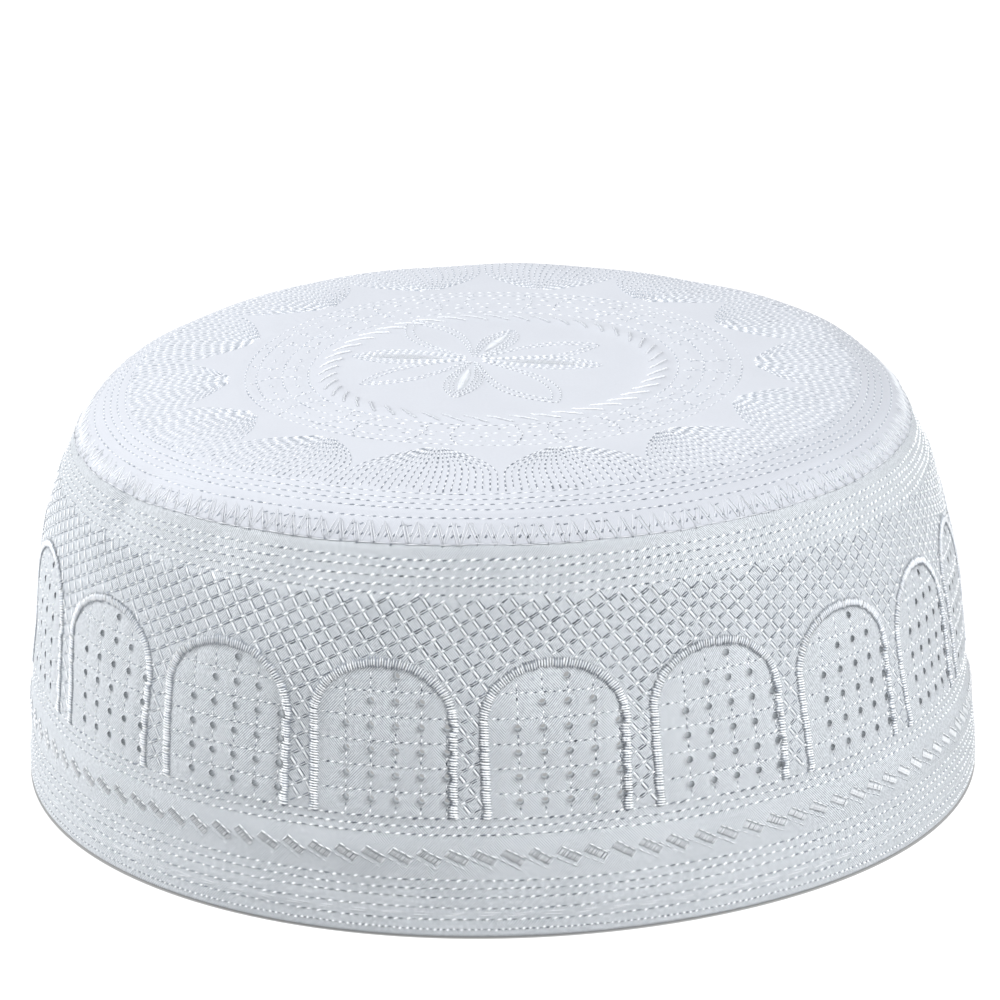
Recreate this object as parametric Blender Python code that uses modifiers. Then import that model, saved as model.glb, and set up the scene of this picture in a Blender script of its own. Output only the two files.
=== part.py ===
"""A kufi: a round brimless cap of embroidered cotton, standing on its rim.

Metres, +Z up. The origin is on the floor, in the middle of the cap's box.
The cap is a tall side band, a domed crown whose edge laps over the band's top,
and a hem turned up inside the rim. The head goes in from below.
"""

import bisect
import math
from collections import namedtuple

import bmesh
import bpy
from mathutils import Matrix, Vector

# Driving sizes
RIM_RADIUS = 0.0948
HEIGHT = 0.0821
BAND_WALL = 0.0020
CROWN_WALL = 0.0014
HEM_WALL = 0.0010
HEM_WIDTH = 0.0060
RIM_TURN = 0.0012
LAP_DROP = 0.0090
LAP_PROUD = 0.0004
TUCK = 0.0040
CLEARANCE = 0.0005

# The pierced arches round the band, a little wider apart on one side than on the other,
# and drawn further round where DRAWS says: angle and spread in degrees, turn in radians
ARCH_COUNT = 18
ARCH_TURN = math.radians(-83.5)
ARCH_FOOT = 0.0233
ARCH_DRIFT = 0.08
Draw = namedtuple("Draw", "place angle spread turn")
DRAWS = (
    Draw("right of the front", -46, 27, 0.024),
    Draw("right side", 12, 25, -0.080),
)
EYELET_RADIUS = 0.00065
EYELET_SIDE_COUNT = 8
EYELET_PITCH_ROUND = 0.0047
EYELET_PITCH_UP = 0.00472
EYELET_SHIFT = 0.00245
FIRST_EYELET_RISE = 0.00315
EYELET_ROW_COUNT = 6
EYELET_COLUMN_COUNT = 5
CUT_EVERY = 2
CUTTER_OVERRUN = 0.0015

# How finely the solids are cut into faces
SEGMENT_COUNT = 4 * ARCH_COUNT
BAND_ROW_COUNT = 8
TUCK_ROW_COUNT = 2
SHOULDER_ROW_COUNT = 4
DOME_ROW_COUNT = 3
HEM_ROW_COUNT = 1
CURVE_STEP_COUNT = 24
MERGE = 0.00001

# The band's section, and the one that the crown stands LAP_PROUD out of,
# from the rim up to the middle, as shares of SECTION_HEIGHT and RIM_RADIUS
SECTION_HEIGHT = HEIGHT - LAP_PROUD
Station = namedtuple("Station", "place height radius")
SECTION = (
    Station("rim", 0.000, 1.000),
    Station("arch feet", 0.279, 0.980),
    Station("arch tops", 0.652, 0.936),
    Station("lattice top", 0.796, 0.904),
    Station("first band row", 0.871, 0.880),
    Station("under the lap", 0.892, 0.872),
    Station("shoulder foot", 0.916, 0.854),
    Station("shoulder", 0.946, 0.823),
    Station("shoulder top", 0.972, 0.774),
    Station("crown edge", 0.985, 0.700),
    Station("crown ring", 0.995, 0.515),
    Station("crown middle", 1.000, 0.000),
)
DOME_START = 0.76

# Where the soft cap is pressed in (or bulges, when inward is less than nothing):
# angles in degrees from +X, the others as shares of HEIGHT and RIM_RADIUS
Dent = namedtuple("Dent", "place angle spread height reach inward drop")
DENTS = (
    Dent("left shoulder", 184, 28, 0.97, 0.14, 0.000, 0.064),
    Dent("left seam", 212, 12, 0.90, 0.10, 0.006, 0.004),
    Dent("right shoulder", -14, 30, 0.97, 0.14, 0.000, 0.045),
    Dent("front right rim", -34, 22, 0.02, 0.30, -0.021, 0.000),
    Dent("rear rim", 95, 35, 0.02, 0.35, 0.008, 0.000),
)

# The plan's departures from a circle, as shares of the radius
Lobe = namedtuple("Lobe", "count turn depth")
LOBES = (
    Lobe(2, -23.0, 0.0040),
    Lobe(3, 33.0, 0.0032),
)


def section_curve():
    """The section as a dense list of (distance from the rim, radius, height)."""
    points = [Vector((s.radius * RIM_RADIUS, s.height * SECTION_HEIGHT)) for s in SECTION]
    gaps = [(b - a).length for a, b in zip(points, points[1:])]
    slopes = [Vector((0.0, 1.0))]
    for i in range(1, len(points) - 1):
        before = (points[i] - points[i - 1]) / gaps[i - 1]
        after = (points[i + 1] - points[i]) / gaps[i]
        share = gaps[i - 1] / (gaps[i - 1] + gaps[i])
        slopes.append(before.lerp(after, share))
    slopes.append(Vector((-1.0, 0.0)))
    curve = [(0.0, points[0].x, points[0].y)]
    last = points[0]
    for i, gap in enumerate(gaps):
        for step in range(1, CURVE_STEP_COUNT + 1):
            t = step / CURVE_STEP_COUNT
            here = (
                points[i] * (2 * t ** 3 - 3 * t ** 2 + 1)
                + slopes[i] * gap * (t ** 3 - 2 * t ** 2 + t)
                + points[i + 1] * (3 * t ** 2 - 2 * t ** 3)
                + slopes[i + 1] * gap * (t ** 3 - t ** 2)
            )
            curve.append((curve[-1][0] + (here - last).length, here.x, here.y))
            last = here
    return curve


CURVE = section_curve()
CURVE_AT = [point[0] for point in CURVE]
SECTION_LENGTH = CURVE_AT[-1]


def section_point(along, inset=0.0):
    """Radius and height at a distance along the section, moved in along its normal."""
    i = min(max(bisect.bisect_right(CURVE_AT, along) - 1, 0), len(CURVE) - 2)
    (start, r0, z0), (end, r1, z1) = CURVE[i], CURVE[i + 1]
    t = (along - start) / (end - start)
    steep, flat = (z1 - z0) / (end - start), (r1 - r0) / (end - start)
    return (r0 + (r1 - r0) * t - inset * steep, z0 + (z1 - z0) * t + inset * flat)


def along_at(height):
    """The distance along the section where it first reaches a height."""
    for (start, _, z0), (end, _, z1) in zip(CURVE, CURVE[1:]):
        if z1 >= height:
            return start + (end - start) * (height - z0) / (z1 - z0)
    return SECTION_LENGTH


def evenly(first, last, count):
    """Distances from first to last, both kept, in count equal steps."""
    return [first + (last - first) * i / count for i in range(count + 1)]


def shaped(point):
    """Moves a point of the round, even cap to its place on the soft one."""
    angle = math.atan2(point.y, point.x)
    radius = math.hypot(point.x, point.y)
    out = radius / RIM_RADIUS
    grow = sum(lobe.depth * math.cos(lobe.count * angle - math.radians(lobe.turn)) for lobe in LOBES)
    drop = 0.0
    for dent in DENTS:
        turn = (math.degrees(angle) - dent.angle + 180.0) % 360.0 - 180.0
        rise = (point.z / HEIGHT - dent.height) / dent.reach
        weight = math.exp(-0.5 * ((turn / dent.spread) ** 2 + rise ** 2)) * min(out, 1.0) ** 2
        grow -= dent.inward * weight
        drop += dent.drop * weight * HEIGHT
    return Vector((point.x * (1.0 + grow), point.y * (1.0 + grow), point.z - drop))


def material(name, colour, roughness):
    """A plain cloth material."""
    made = bpy.data.materials.new(name)
    made.use_nodes = True
    shader = made.node_tree.nodes["Principled BSDF"]
    shader.inputs["Base Color"].default_value = (*colour, 1.0)
    shader.inputs["Roughness"].default_value = roughness
    shader.inputs["Metallic"].default_value = 0.0
    return made


def turned_sheet(name, profile):
    """An open surface: a profile, listed from the top down, turned round the Z axis."""
    outline = bpy.data.meshes.new(name + "_profile")
    edges = [(i, i + 1) for i in range(len(profile) - 1)]
    outline.from_pydata([(radius, 0.0, height) for radius, height in profile], edges, [])
    lathe = bpy.data.objects.new(name + "_lathe", outline)
    bpy.context.scene.collection.objects.link(lathe)
    screw = lathe.modifiers.new("turn", "SCREW")
    screw.axis = "Z"
    screw.angle = math.tau
    screw.steps = SEGMENT_COUNT
    screw.render_steps = SEGMENT_COUNT
    screw.use_merge_vertices = True
    screw.merge_threshold = MERGE
    bpy.context.view_layer.update()
    sheet = bpy.data.meshes.new_from_object(lathe.evaluated_get(bpy.context.evaluated_depsgraph_get()))
    bpy.data.objects.remove(lathe)
    bpy.data.meshes.remove(outline)
    for vertex in sheet.vertices:
        vertex.co = shaped(vertex.co)
    sheet.name = name
    return sheet


def cloth_shell(name, profile, wall, finish, home, parent):
    """A closed shell: a turned sheet, thickened inwards by its wall."""
    shell = bpy.data.objects.new(name, turned_sheet(name, profile))
    home.objects.link(shell)
    shell.parent = parent
    shell.data.materials.clear()
    shell.data.materials.append(finish)
    shell.data.shade_smooth()
    shell.data.set_sharp_from_angle(angle=math.radians(40))
    thicken = shell.modifiers.new("wall", "SOLIDIFY")
    thicken.thickness = wall
    thicken.offset = -1.0
    thicken.use_even_offset = True
    return shell


def side_band(lap, home, parent):
    """The tall wall, with a step at its top where the crown's edge laps over it."""
    tuck_inset = CROWN_WALL - LAP_PROUD + CLEARANCE
    wall = [section_point(along) for along in evenly(RIM_TURN, lap - CLEARANCE, BAND_ROW_COUNT)]
    wall[0] = (RIM_RADIUS, RIM_TURN)
    step = section_point(lap - CLEARANCE, tuck_inset)
    tuck = [section_point(along, tuck_inset) for along in evenly(lap + CLEARANCE, lap + TUCK, TUCK_ROW_COUNT)]
    profile = [(RIM_RADIUS, 0.0)] + wall + [step] + tuck
    finish = material("band_cotton", (0.82, 0.84, 0.88), 0.85)
    return cloth_shell("side_band", profile[::-1], BAND_WALL, finish, home, parent)


def crown(lap, home, parent):
    """The domed top and its rounded shoulder, down to the edge lapped over the band."""
    dome = DOME_START * RIM_RADIUS
    dome_along = next(along for along, radius, _ in CURVE if radius <= dome)
    over_tuck = [lap] + evenly(lap + CLEARANCE, lap + TUCK, TUCK_ROW_COUNT)
    shoulder = evenly(lap + TUCK, dome_along, SHOULDER_ROW_COUNT)[1:]
    skirt = [section_point(along, -LAP_PROUD) for along in over_tuck + shoulder]
    top = [section_point(along, -LAP_PROUD) for along in evenly(dome_along, SECTION_LENGTH, DOME_ROW_COUNT)]
    top[-1] = (0.0, HEIGHT)
    finish = material("crown_cotton", (0.84, 0.87, 0.93), 0.85)
    return cloth_shell("crown", (skirt + top[1:])[::-1], CROWN_WALL, finish, home, parent)


def hem(home, parent):
    """The strip turned up inside the rim."""
    inset = BAND_WALL + CLEARANCE
    rows = [section_point(along, inset) for along in evenly(RIM_TURN, HEM_WIDTH, HEM_ROW_COUNT)]
    rows[0] = (RIM_RADIUS - inset, RIM_TURN)
    profile = [(RIM_RADIUS - inset, 0.0)] + rows
    finish = material("hem_cotton", (0.80, 0.82, 0.86), 0.88)
    return cloth_shell("hem", profile[::-1], HEM_WALL, finish, home, parent)


def drawn(angle):
    """The angle round the cap of a place in the evenly set out embroidery."""
    moved = angle - ARCH_DRIFT * (math.sin(angle) + 1.0)
    for draw in DRAWS:
        away = (math.degrees(angle) - draw.angle + 180.0) % 360.0 - 180.0
        moved += draw.turn * math.exp(-((away / draw.spread) ** 2))
    return moved


def eyelet_places():
    """The (angle, distance along the section) of each eyelet that is cut through here."""
    foot = along_at(ARCH_FOOT) + FIRST_EYELET_RISE
    middle = EYELET_COLUMN_COUNT // 2
    for arch in range(ARCH_COUNT):
        centre = ARCH_TURN + math.tau * arch / ARCH_COUNT
        for row in range(1, EYELET_ROW_COUNT - 1, CUT_EVERY):
            reach = min(EYELET_ROW_COUNT - 1 - row, middle)
            along = foot + row * EYELET_PITCH_UP
            radius = section_point(along)[0]
            for column in range(middle - reach, middle + reach + 1, CUT_EVERY):
                aside = EYELET_SHIFT + (column - middle) * EYELET_PITCH_ROUND
                yield drawn(centre + aside / radius), along


def eyelet_cutters(home, parent):
    """One mesh of small round pins, each square to the wall where it goes through."""
    pins = bmesh.new()
    for angle, along in eyelet_places():
        outer = section_point(along, -CUTTER_OVERRUN)
        inner = section_point(along, BAND_WALL + CUTTER_OVERRUN)
        ends = [
            shaped(Vector((radius * math.cos(angle), radius * math.sin(angle), height)))
            for radius, height in (outer, inner)
        ]
        axis = ends[0] - ends[1]
        turn = axis.to_track_quat("Z", "Y").to_matrix().to_4x4()
        place = Matrix.Translation((ends[0] + ends[1]) / 2) @ turn
        bmesh.ops.create_cone(
            pins,
            cap_ends=True,
            segments=EYELET_SIDE_COUNT,
            radius1=EYELET_RADIUS,
            radius2=EYELET_RADIUS,
            depth=axis.length,
            matrix=place,
        )
    mesh = bpy.data.meshes.new("eyelet_pins")
    pins.to_mesh(mesh)
    pins.free()
    cutters = bpy.data.objects.new("eyelet_pins", mesh)
    home.objects.link(cutters)
    cutters.parent = parent
    cutters.hide_render = True
    cutters.display_type = "WIRE"
    return cutters


def pierce(band, cutters):
    """Cuts the eyelets through the band."""
    cut = band.modifiers.new("eyelets", "BOOLEAN")
    cut.operation = "DIFFERENCE"
    cut.solver = "EXACT"
    cut.object = cutters


def stand_in_the_middle(stand, widest):
    """Moves the whole cap so that the middle of its box is over the origin."""
    for axis in range(2):
        reach = [vertex.co[axis] for vertex in widest.data.vertices]
        stand.location[axis] = -(min(reach) + max(reach)) / 2


def new_collection(name):
    """A collection of the scene."""
    made = bpy.data.collections.new(name)
    bpy.context.scene.collection.children.link(made)
    return made


def main():
    """Clears the scene and makes the cap."""
    for thing in list(bpy.data.objects):
        bpy.data.objects.remove(thing, do_unlink=True)
    cap = new_collection("kufi")
    tools = new_collection("cutters")
    stand = bpy.data.objects.new("kufi_origin", None)
    cap.objects.link(stand)
    lap = along_at(HEIGHT - LAP_DROP)
    band = side_band(lap, cap, stand)
    crown(lap, cap, stand)
    hem(cap, stand)
    pierce(band, eyelet_cutters(tools, stand))
    stand_in_the_middle(stand, band)


main()
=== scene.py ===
"""The looks of a white embroidered kufi: cloth, thread, floor, light and camera.

Metres, +Z up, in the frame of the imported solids. A place on the cap is an angle
round it, from +X, and a distance along its section, from the rim up over the
shoulder to the middle of the crown. A lift is a height above the cloth there.
"""

import math

import bpy
import numpy as np
from mathutils import Matrix


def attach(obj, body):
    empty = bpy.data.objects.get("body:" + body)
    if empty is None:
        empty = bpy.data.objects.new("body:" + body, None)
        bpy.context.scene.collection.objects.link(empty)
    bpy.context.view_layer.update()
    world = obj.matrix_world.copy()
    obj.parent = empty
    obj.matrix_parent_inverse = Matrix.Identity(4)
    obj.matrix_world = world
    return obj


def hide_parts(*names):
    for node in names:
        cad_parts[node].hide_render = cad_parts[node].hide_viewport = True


MM = 0.001
TURN = 2 * math.pi

# The cap's sizes, as in the solids
RIM_RADIUS = 94.8 * MM
HEIGHT = 82.1 * MM
BAND_WALL = 2.0 * MM
CROWN_WALL = 1.4 * MM
HEM_WALL = 1.0 * MM
HEM_WIDTH = 6.0 * MM
RIM_TURN = 1.2 * MM
LAP_DROP = 9.0 * MM
LAP_PROUD = 0.4 * MM
CLEARANCE = 0.5 * MM
TUCK = 4.0 * MM
SECTION_HEIGHT = HEIGHT - LAP_PROUD
CURVE_STEPS = 24

# The section: shares of SECTION_HEIGHT and RIM_RADIUS
SECTION = (
    ("rim", 0.000, 1.000),
    ("arch feet", 0.279, 0.980),
    ("arch tops", 0.652, 0.936),
    ("lattice top", 0.796, 0.904),
    ("first band row", 0.871, 0.880),
    ("under the lap", 0.892, 0.872),
    ("shoulder foot", 0.916, 0.854),
    ("shoulder", 0.946, 0.823),
    ("shoulder top", 0.972, 0.774),
    ("crown edge", 0.985, 0.700),
    ("crown ring", 0.995, 0.515),
    ("crown middle", 1.000, 0.000),
)

# place, angle and spread in degrees, height, reach, inward and drop as shares
DENTS = (
    ("left shoulder", 184, 28, 0.97, 0.14, 0.000, 0.064),
    ("left seam", 212, 12, 0.90, 0.10, 0.006, 0.004),
    ("right shoulder", -14, 30, 0.97, 0.14, 0.000, 0.045),
    ("front right rim", -34, 22, 0.02, 0.30, -0.021, 0.000),
    ("rear rim", 95, 35, 0.02, 0.35, 0.008, 0.000),
)

# count, turn in degrees, depth as a share of the radius
LOBES = (
    (2, -23.0, 0.0040),
    (3, 33.0, 0.0032),
)

# The arches and their eyelets, set out evenly and then drawn wider on one side
ARCH_COUNT = 18
ARCH_TURN = math.radians(-83.5)
ARCH_DRIFT = 0.08
ARCH_PITCH = TURN / ARCH_COUNT
# place, angle and spread in degrees, how far it is drawn round in radians
DRAWS = (
    ("right of the front", -46, 27, 0.024),
    ("right side", 12, 25, -0.080),
)
ARCH_FOOT = 23.3 * MM
ARCH_HALF_WIDTH = 13.1 * MM
ARCH_SPRING = 18.3 * MM
ARCH_RISE = 29.4 * MM
SATIN_WIDTH = 2.0 * MM
SATIN_PITCH = 0.5 * MM
GRID_UP = 4.78 * MM
GRID_PITCH = 1.75 * MM
EYELET_RADIUS = 0.65 * MM
EYELET_PITCH_ROUND = 4.7 * MM
EYELET_PITCH_UP = 4.72 * MM
EYELET_SHIFT = 2.45 * MM
FIRST_EYELET_RISE = 3.15 * MM
EYELETS_BY_ROW = (5, 5, 5, 5, 3, 1)
EYELET_COLUMNS = 5

# Rows of running stitch round the cap: distance along the section in mm, pitch in mm, share of thread
STITCH_ROWS = (
    ("hem edge", 1.7, 1.27, 0.50),
    ("hem", 3.6, 2.10, 0.44),
    ("low 1", 5.9, 2.15, 0.44),
    ("low 2", 8.0, 2.15, 0.44),
    ("low 3", 9.7, 2.15, 0.44),
    ("low 4", 11.35, 2.15, 0.44),
    ("foot 1", 20.15, 2.08, 0.46),
    ("foot 2", 21.65, 2.08, 0.46),
    ("foot 3", 23.3, 2.08, 0.46),
    ("band 5", 65.56, 2.10, 0.48),
    ("band 4", 67.15, 2.05, 0.48),
    ("band 3", 68.75, 2.10, 0.48),
    ("band 2", 70.42, 2.05, 0.48),
    ("band 1", 71.97, 2.10, 0.48),
)
CROWN_ROWS = (
    ("crown 1", 80.1, 2.15, 0.48),
    ("crown 2", 82.3, 2.15, 0.46),
    ("crown 3", 83.7, 2.15, 0.46),
    ("crown 4", 85.1, 2.15, 0.46),
    ("crown 5", 86.8, 2.15, 0.50),
)
FLOAT_ROWS = (4.6 * MM, 5.0 * MM)
FLOAT_PITCH = 6.1 * MM

# The slanted satin bars above the low rows
BAR_COUNT = 114
BAR_TURN = math.radians(-85.65)
BAR_ALONG = 15.8 * MM
BAR_SLANT = math.radians(-29)
BAR_LENGTH = 4.1 * MM
BAR_WIDTH = 1.7 * MM
BAR_STRANDS = 13

# The slanted lattice: its nodes repeat after LATTICE_CELLS steps up one way and down the other
LATTICE_CELLS = (167, 101)
LATTICE_RADIUS = 87.6 * MM
LATTICE_RISE = 1.335 * MM
LATTICE_LEAN = 1.53 * MM
LATTICE_NODE = (math.radians(-87.9), 59.45 * MM)
LATTICE_FOOT = 24.1 * MM
LATTICE_TOP = 65.0 * MM

# The zigzag that sews the crown's edge down: distances along the section in mm
ZIGZAG_COUNT = 160
ZIGZAG_FOOT = 74.6
ZIGZAG_TOP = 79.6
SHORT_ZIGZAG_COUNT = 330
SHORT_ZIGZAG = (75.8, 77.2)
LAP_LINE = 74.75

# The crown's fans, rings, rope and flower, in millimetres from the middle of the crown
FAN_COUNT = 14
FAN_TURN = math.radians(-101.6)
FAN_LINES = 22
FAN_TIP = 51.0
FAN_FULL = 65.0
FAN_CENTRE = (0.0, -1.0)
FAN_PITCH = 2.0
RINGS = (
    ("outer", 48.9, -1.4, 2.0),
    ("outer pair", 46.6, -1.5, 2.0),
    ("middle", 41.5, -2.4, 2.1),
    ("inner", 36.4, -3.2, 2.1),
)
DOT_RINGS = (
    ("outer dots", 44.1, -2.0, 5.1),
    ("inner dots", 39.0, -2.8, 5.1),
)
SPOKES = 28
ROPE_COUNT = 45
ROPE_CENTRE = (0.2, -3.9)
ROPE_RADII = (31.1, 34.1)
FLOWER_CENTRE = (-3.3, 1.1)
# kind, angle in degrees, length and half width in mm
PETALS = (
    ("satin", -12, 25.6, 3.7),
    ("open", 17, 26.0, 4.6),
    ("satin", 67, 20.5, 3.4),
    ("open", 117, 28.0, 5.2),
    ("satin", 168, 24.8, 3.9),
    ("open", 210, 26.0, 4.4),
    ("satin", 261, 24.5, 3.6),
    ("open", 300, 32.0, 5.6),
)

# The camera: how far, how steep, and where the cap's middle lies in a 1000 px frame
CAMERA_DISTANCE = 1.0428
CAMERA_STEEPNESS = math.radians(20.284)
CAMERA_ROLL = 0.0216
CAMERA_AIM_HEIGHT = 37.92 * MM
FOCAL_PX = 5200.0
IMAGE_PX = 1000.0
AIM_PX = (498.4, 571.2)
SENSOR = 36.0

RNG = np.random.default_rng(7)


def section_curve():
    """The section as arrays of distance, radius and height."""
    points = np.array([(radius * RIM_RADIUS, height * SECTION_HEIGHT) for _, height, radius in SECTION])
    gaps = np.linalg.norm(np.diff(points, axis=0), axis=1)
    slopes = [np.array([0.0, 1.0])]
    for i in range(1, len(points) - 1):
        before = (points[i] - points[i - 1]) / gaps[i - 1]
        after = (points[i + 1] - points[i]) / gaps[i]
        share = gaps[i - 1] / (gaps[i - 1] + gaps[i])
        slopes.append(before * (1 - share) + after * share)
    slopes.append(np.array([-1.0, 0.0]))
    curve = [points[0]]
    for i, gap in enumerate(gaps):
        for t in np.arange(1, CURVE_STEPS + 1) / CURVE_STEPS:
            curve.append(
                points[i] * (2 * t**3 - 3 * t**2 + 1)
                + slopes[i] * gap * (t**3 - 2 * t**2 + t)
                + points[i + 1] * (3 * t**2 - 2 * t**3)
                + slopes[i + 1] * gap * (t**3 - t**2)
            )
    curve = np.array(curve)
    along = np.concatenate(([0.0], np.cumsum(np.linalg.norm(np.diff(curve, axis=0), axis=1))))
    return along, curve[:, 0], curve[:, 1]


ALONG, RADII, HEIGHTS = section_curve()
SECTION_LENGTH = ALONG[-1]
STEEP = np.gradient(HEIGHTS, ALONG)
FLAT = np.gradient(RADII, ALONG)
LAP = float(np.interp(HEIGHT - LAP_DROP, HEIGHTS[: CURVE_STEPS * 8], ALONG[: CURVE_STEPS * 8]))


def radius_at(along):
    """The cap's radius at a distance along the section."""
    return np.interp(along, ALONG, RADII)


def along_of_radius(radius):
    """The distance along the section where the crown has this radius."""
    return np.interp(-np.asarray(radius), -RADII, ALONG)


def shaped(points):
    """Moves points of the round, even cap to their places on the soft one."""
    angle = np.arctan2(points[..., 1], points[..., 0])
    out = np.minimum(np.hypot(points[..., 0], points[..., 1]) / RIM_RADIUS, 1.0)
    grow = sum(depth * np.cos(count * angle - math.radians(turn)) for count, turn, depth in LOBES)
    drop = 0.0
    for _, middle, spread, height, reach, inward, down in DENTS:
        turn = (np.degrees(angle) - middle + 180.0) % 360.0 - 180.0
        rise = (points[..., 2] / HEIGHT - height) / reach
        weight = np.exp(-0.5 * ((turn / spread) ** 2 + rise**2)) * out**2
        grow = grow - inward * weight
        drop = drop + down * weight * HEIGHT
    moved = np.array(points)
    moved[..., 0] *= 1.0 + grow
    moved[..., 1] *= 1.0 + grow
    moved[..., 2] -= drop
    return moved


def raw_surface(angle, along, lift):
    """Points over the cap's surface, before the cap is stood in the middle of its box."""
    radius = np.interp(along, ALONG, RADII)
    height = np.interp(along, ALONG, HEIGHTS)
    steep = np.interp(along, ALONG, STEEP)
    flat = np.interp(along, ALONG, FLAT)
    size = np.hypot(steep, flat)
    radius = radius + lift * steep / size
    height = height - lift * flat / size
    return shaped(np.stack(np.broadcast_arrays(radius * np.cos(angle), radius * np.sin(angle), height), -1))


RIM = raw_surface(np.linspace(0, TURN, 721), 0.0, 0.0)
MIDDLE = np.array([*(RIM[:, :2].min(0) + RIM[:, :2].max(0)) / 2, 0.0])


def surface(angle, along, lift=0.0):
    """Points over the cap's surface."""
    return raw_surface(angle, along, lift) - MIDDLE


def spread(even):
    """The angle round the cap of a place in the evenly set out embroidery."""
    angle = even - ARCH_DRIFT * (np.sin(even) + 1.0)
    for _, middle, reach, turn in DRAWS:
        away = (np.degrees(even) - middle + 180.0) % 360.0 - 180.0
        angle = angle + turn * np.exp(-((away / reach) ** 2))
    return angle


def arch_place(even, along):
    """How far aside of the nearest arch's middle and above its foot a place is."""
    turn = (even - ARCH_TURN + ARCH_PITCH / 2) % ARCH_PITCH - ARCH_PITCH / 2
    return turn * radius_at(along), along - ARCH_FOOT


def arch_depth(aside, rise):
    """How far inside an arch's centre line a place is, less than nothing outside."""
    head = ARCH_RISE - ARCH_SPRING
    up = np.maximum(rise - ARCH_SPRING, 0.0)
    reach = np.sqrt((aside / ARCH_HALF_WIDTH) ** 2 + (up / head) ** 2) + 1e-9
    slope = np.sqrt((aside / ARCH_HALF_WIDTH**2) ** 2 + (up / head**2) ** 2) / reach + 1e-9
    rounded = (1.0 - reach) / slope
    straight = ARCH_HALF_WIDTH - np.abs(aside)
    return np.minimum(np.where(up > 0, rounded, straight), head)


def eyelet_offsets():
    """The (aside, rise) of each eyelet of an arch."""
    middle = EYELET_COLUMNS // 2
    places = []
    for row, count in enumerate(EYELETS_BY_ROW):
        reach = count // 2
        for column in range(middle - reach, middle + reach + 1):
            aside = EYELET_SHIFT + (column - middle) * EYELET_PITCH_ROUND
            places.append((aside, FIRST_EYELET_RISE + row * EYELET_PITCH_UP))
    return np.array(places)


EYELETS = eyelet_offsets()


def bell(distance, reach):
    """One at no distance, falling off smoothly."""
    return np.exp(-((distance / reach) ** 2))


def step_up(value, start, end):
    """Nothing before start, one after end, smooth between."""
    t = np.clip((value - start) / (end - start), 0.0, 1.0)
    return t * t * (3 - 2 * t)


def turned(angle, degrees):
    """How far an angle is from a direction in degrees, at most half a turn either way."""
    return (angle - math.radians(degrees) + math.pi) % TURN - math.pi


def folds(angle, along):
    """The soft cloth's slow waves."""
    waves = 0.16 * np.sin(5 * angle + 210 * along + 0.6)
    waves = waves + 0.12 * np.sin(9 * angle - 150 * along + 2.1)
    waves = waves + 0.08 * np.sin(17 * angle + 260 * along + 4.0)
    waves = waves * step_up(along, 2 * MM, 14 * MM)
    seam = 1.5 * bell(turned(angle, -149.0), 0.045) * bell(along - 72 * MM, 6 * MM)
    seam = seam + 1.0 * bell(turned(angle, -161.0), 0.06) * bell(along - 80 * MM, 4 * MM)
    puckers = 0.3 * np.sin(46 * angle + 500 * along) * bell(along - LAP, 3.0 * MM)
    return (waves - seam + 0.35 * puckers) * MM


def band_relief(even, along):
    """The band's quilted relief, in metres."""
    aside, rise = arch_place(even, along)
    depth = arch_depth(aside, rise)
    above = step_up(rise, -0.8 * MM, 0.2 * MM)
    inside = step_up(depth, 0.6 * MM, 3.0 * MM) * above
    relief = 0.30 * inside
    relief = relief + 0.22 * bell(depth, 1.2 * MM) * above * (np.abs(aside) < ARCH_HALF_WIDTH + 2 * MM)
    within = (depth > 1.2 * MM) & (rise > 0)
    for i in range(1, 6):
        relief = relief - 0.16 * bell(rise - i * GRID_UP, 0.6 * MM) * within
    for column in range(EYELET_COLUMNS):
        line = EYELET_SHIFT + (column - EYELET_COLUMNS // 2) * EYELET_PITCH_ROUND
        relief = relief - 0.14 * bell(aside - line, 0.6 * MM) * within
    for x, y in EYELETS:
        near = np.hypot(aside - x, rise - y)
        relief = relief - 0.24 * bell(near, 1.25 * MM)
    for _, row, _, _ in STITCH_ROWS:
        relief = relief - 0.20 * bell(along - row * MM, 0.45 * MM)
    relief = relief + 0.28 * bell(along - 15.6 * MM, 3.4 * MM)
    return relief * MM + folds(spread(even), along)


def crown_relief(angle, along):
    """The crown's relief, in metres."""
    radius = radius_at(along)
    relief = 0.0
    for _, row, _, _ in CROWN_ROWS:
        relief = relief - 0.20 * bell(along - row * MM, 0.45 * MM)
    x = radius * np.cos(angle)
    y = radius * np.sin(angle)
    over = along > along_of_radius(60 * MM)
    for _, ring, down, _ in RINGS:
        reach = np.hypot(x, y - down * MM)
        relief = relief - 0.14 * bell(reach - ring * MM, 0.5 * MM) * over
    rope = np.hypot(x - ROPE_CENTRE[0] * MM, y - ROPE_CENTRE[1] * MM)
    relief = relief + 0.25 * bell(rope - 32.6 * MM, 1.8 * MM)
    relief = relief + 0.22 * np.sin(3 * angle + 1.0) * bell(radius - 40 * MM, 22 * MM)
    relief = relief + 0.10 * np.sin(FAN_COUNT * (angle - FAN_TURN)) * bell(radius - 64 * MM, 9 * MM)
    return relief * MM + folds(angle, along) * step_up(radius, 40 * MM, 70 * MM)


def on_band(even, along, lift=0.0):
    """Points over the band's cloth, from places in the evenly set out embroidery."""
    return surface(spread(even), along, lift + band_relief(even, along))


def on_crown(angle, along, lift=0.0):
    """Points over the crown's cloth."""
    proud = LAP_PROUD * (0.3 + 0.7 * step_up(along, LAP, LAP + 6 * MM))
    return surface(angle, along, proud + lift + crown_relief(angle, along))


def on_plan(x, y, lift=0.0):
    """Points over the crown's cloth, from millimetres aside of its middle."""
    radius = np.hypot(x, y) * MM
    return on_crown(np.arctan2(y, x), along_of_radius(radius), lift)


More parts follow.
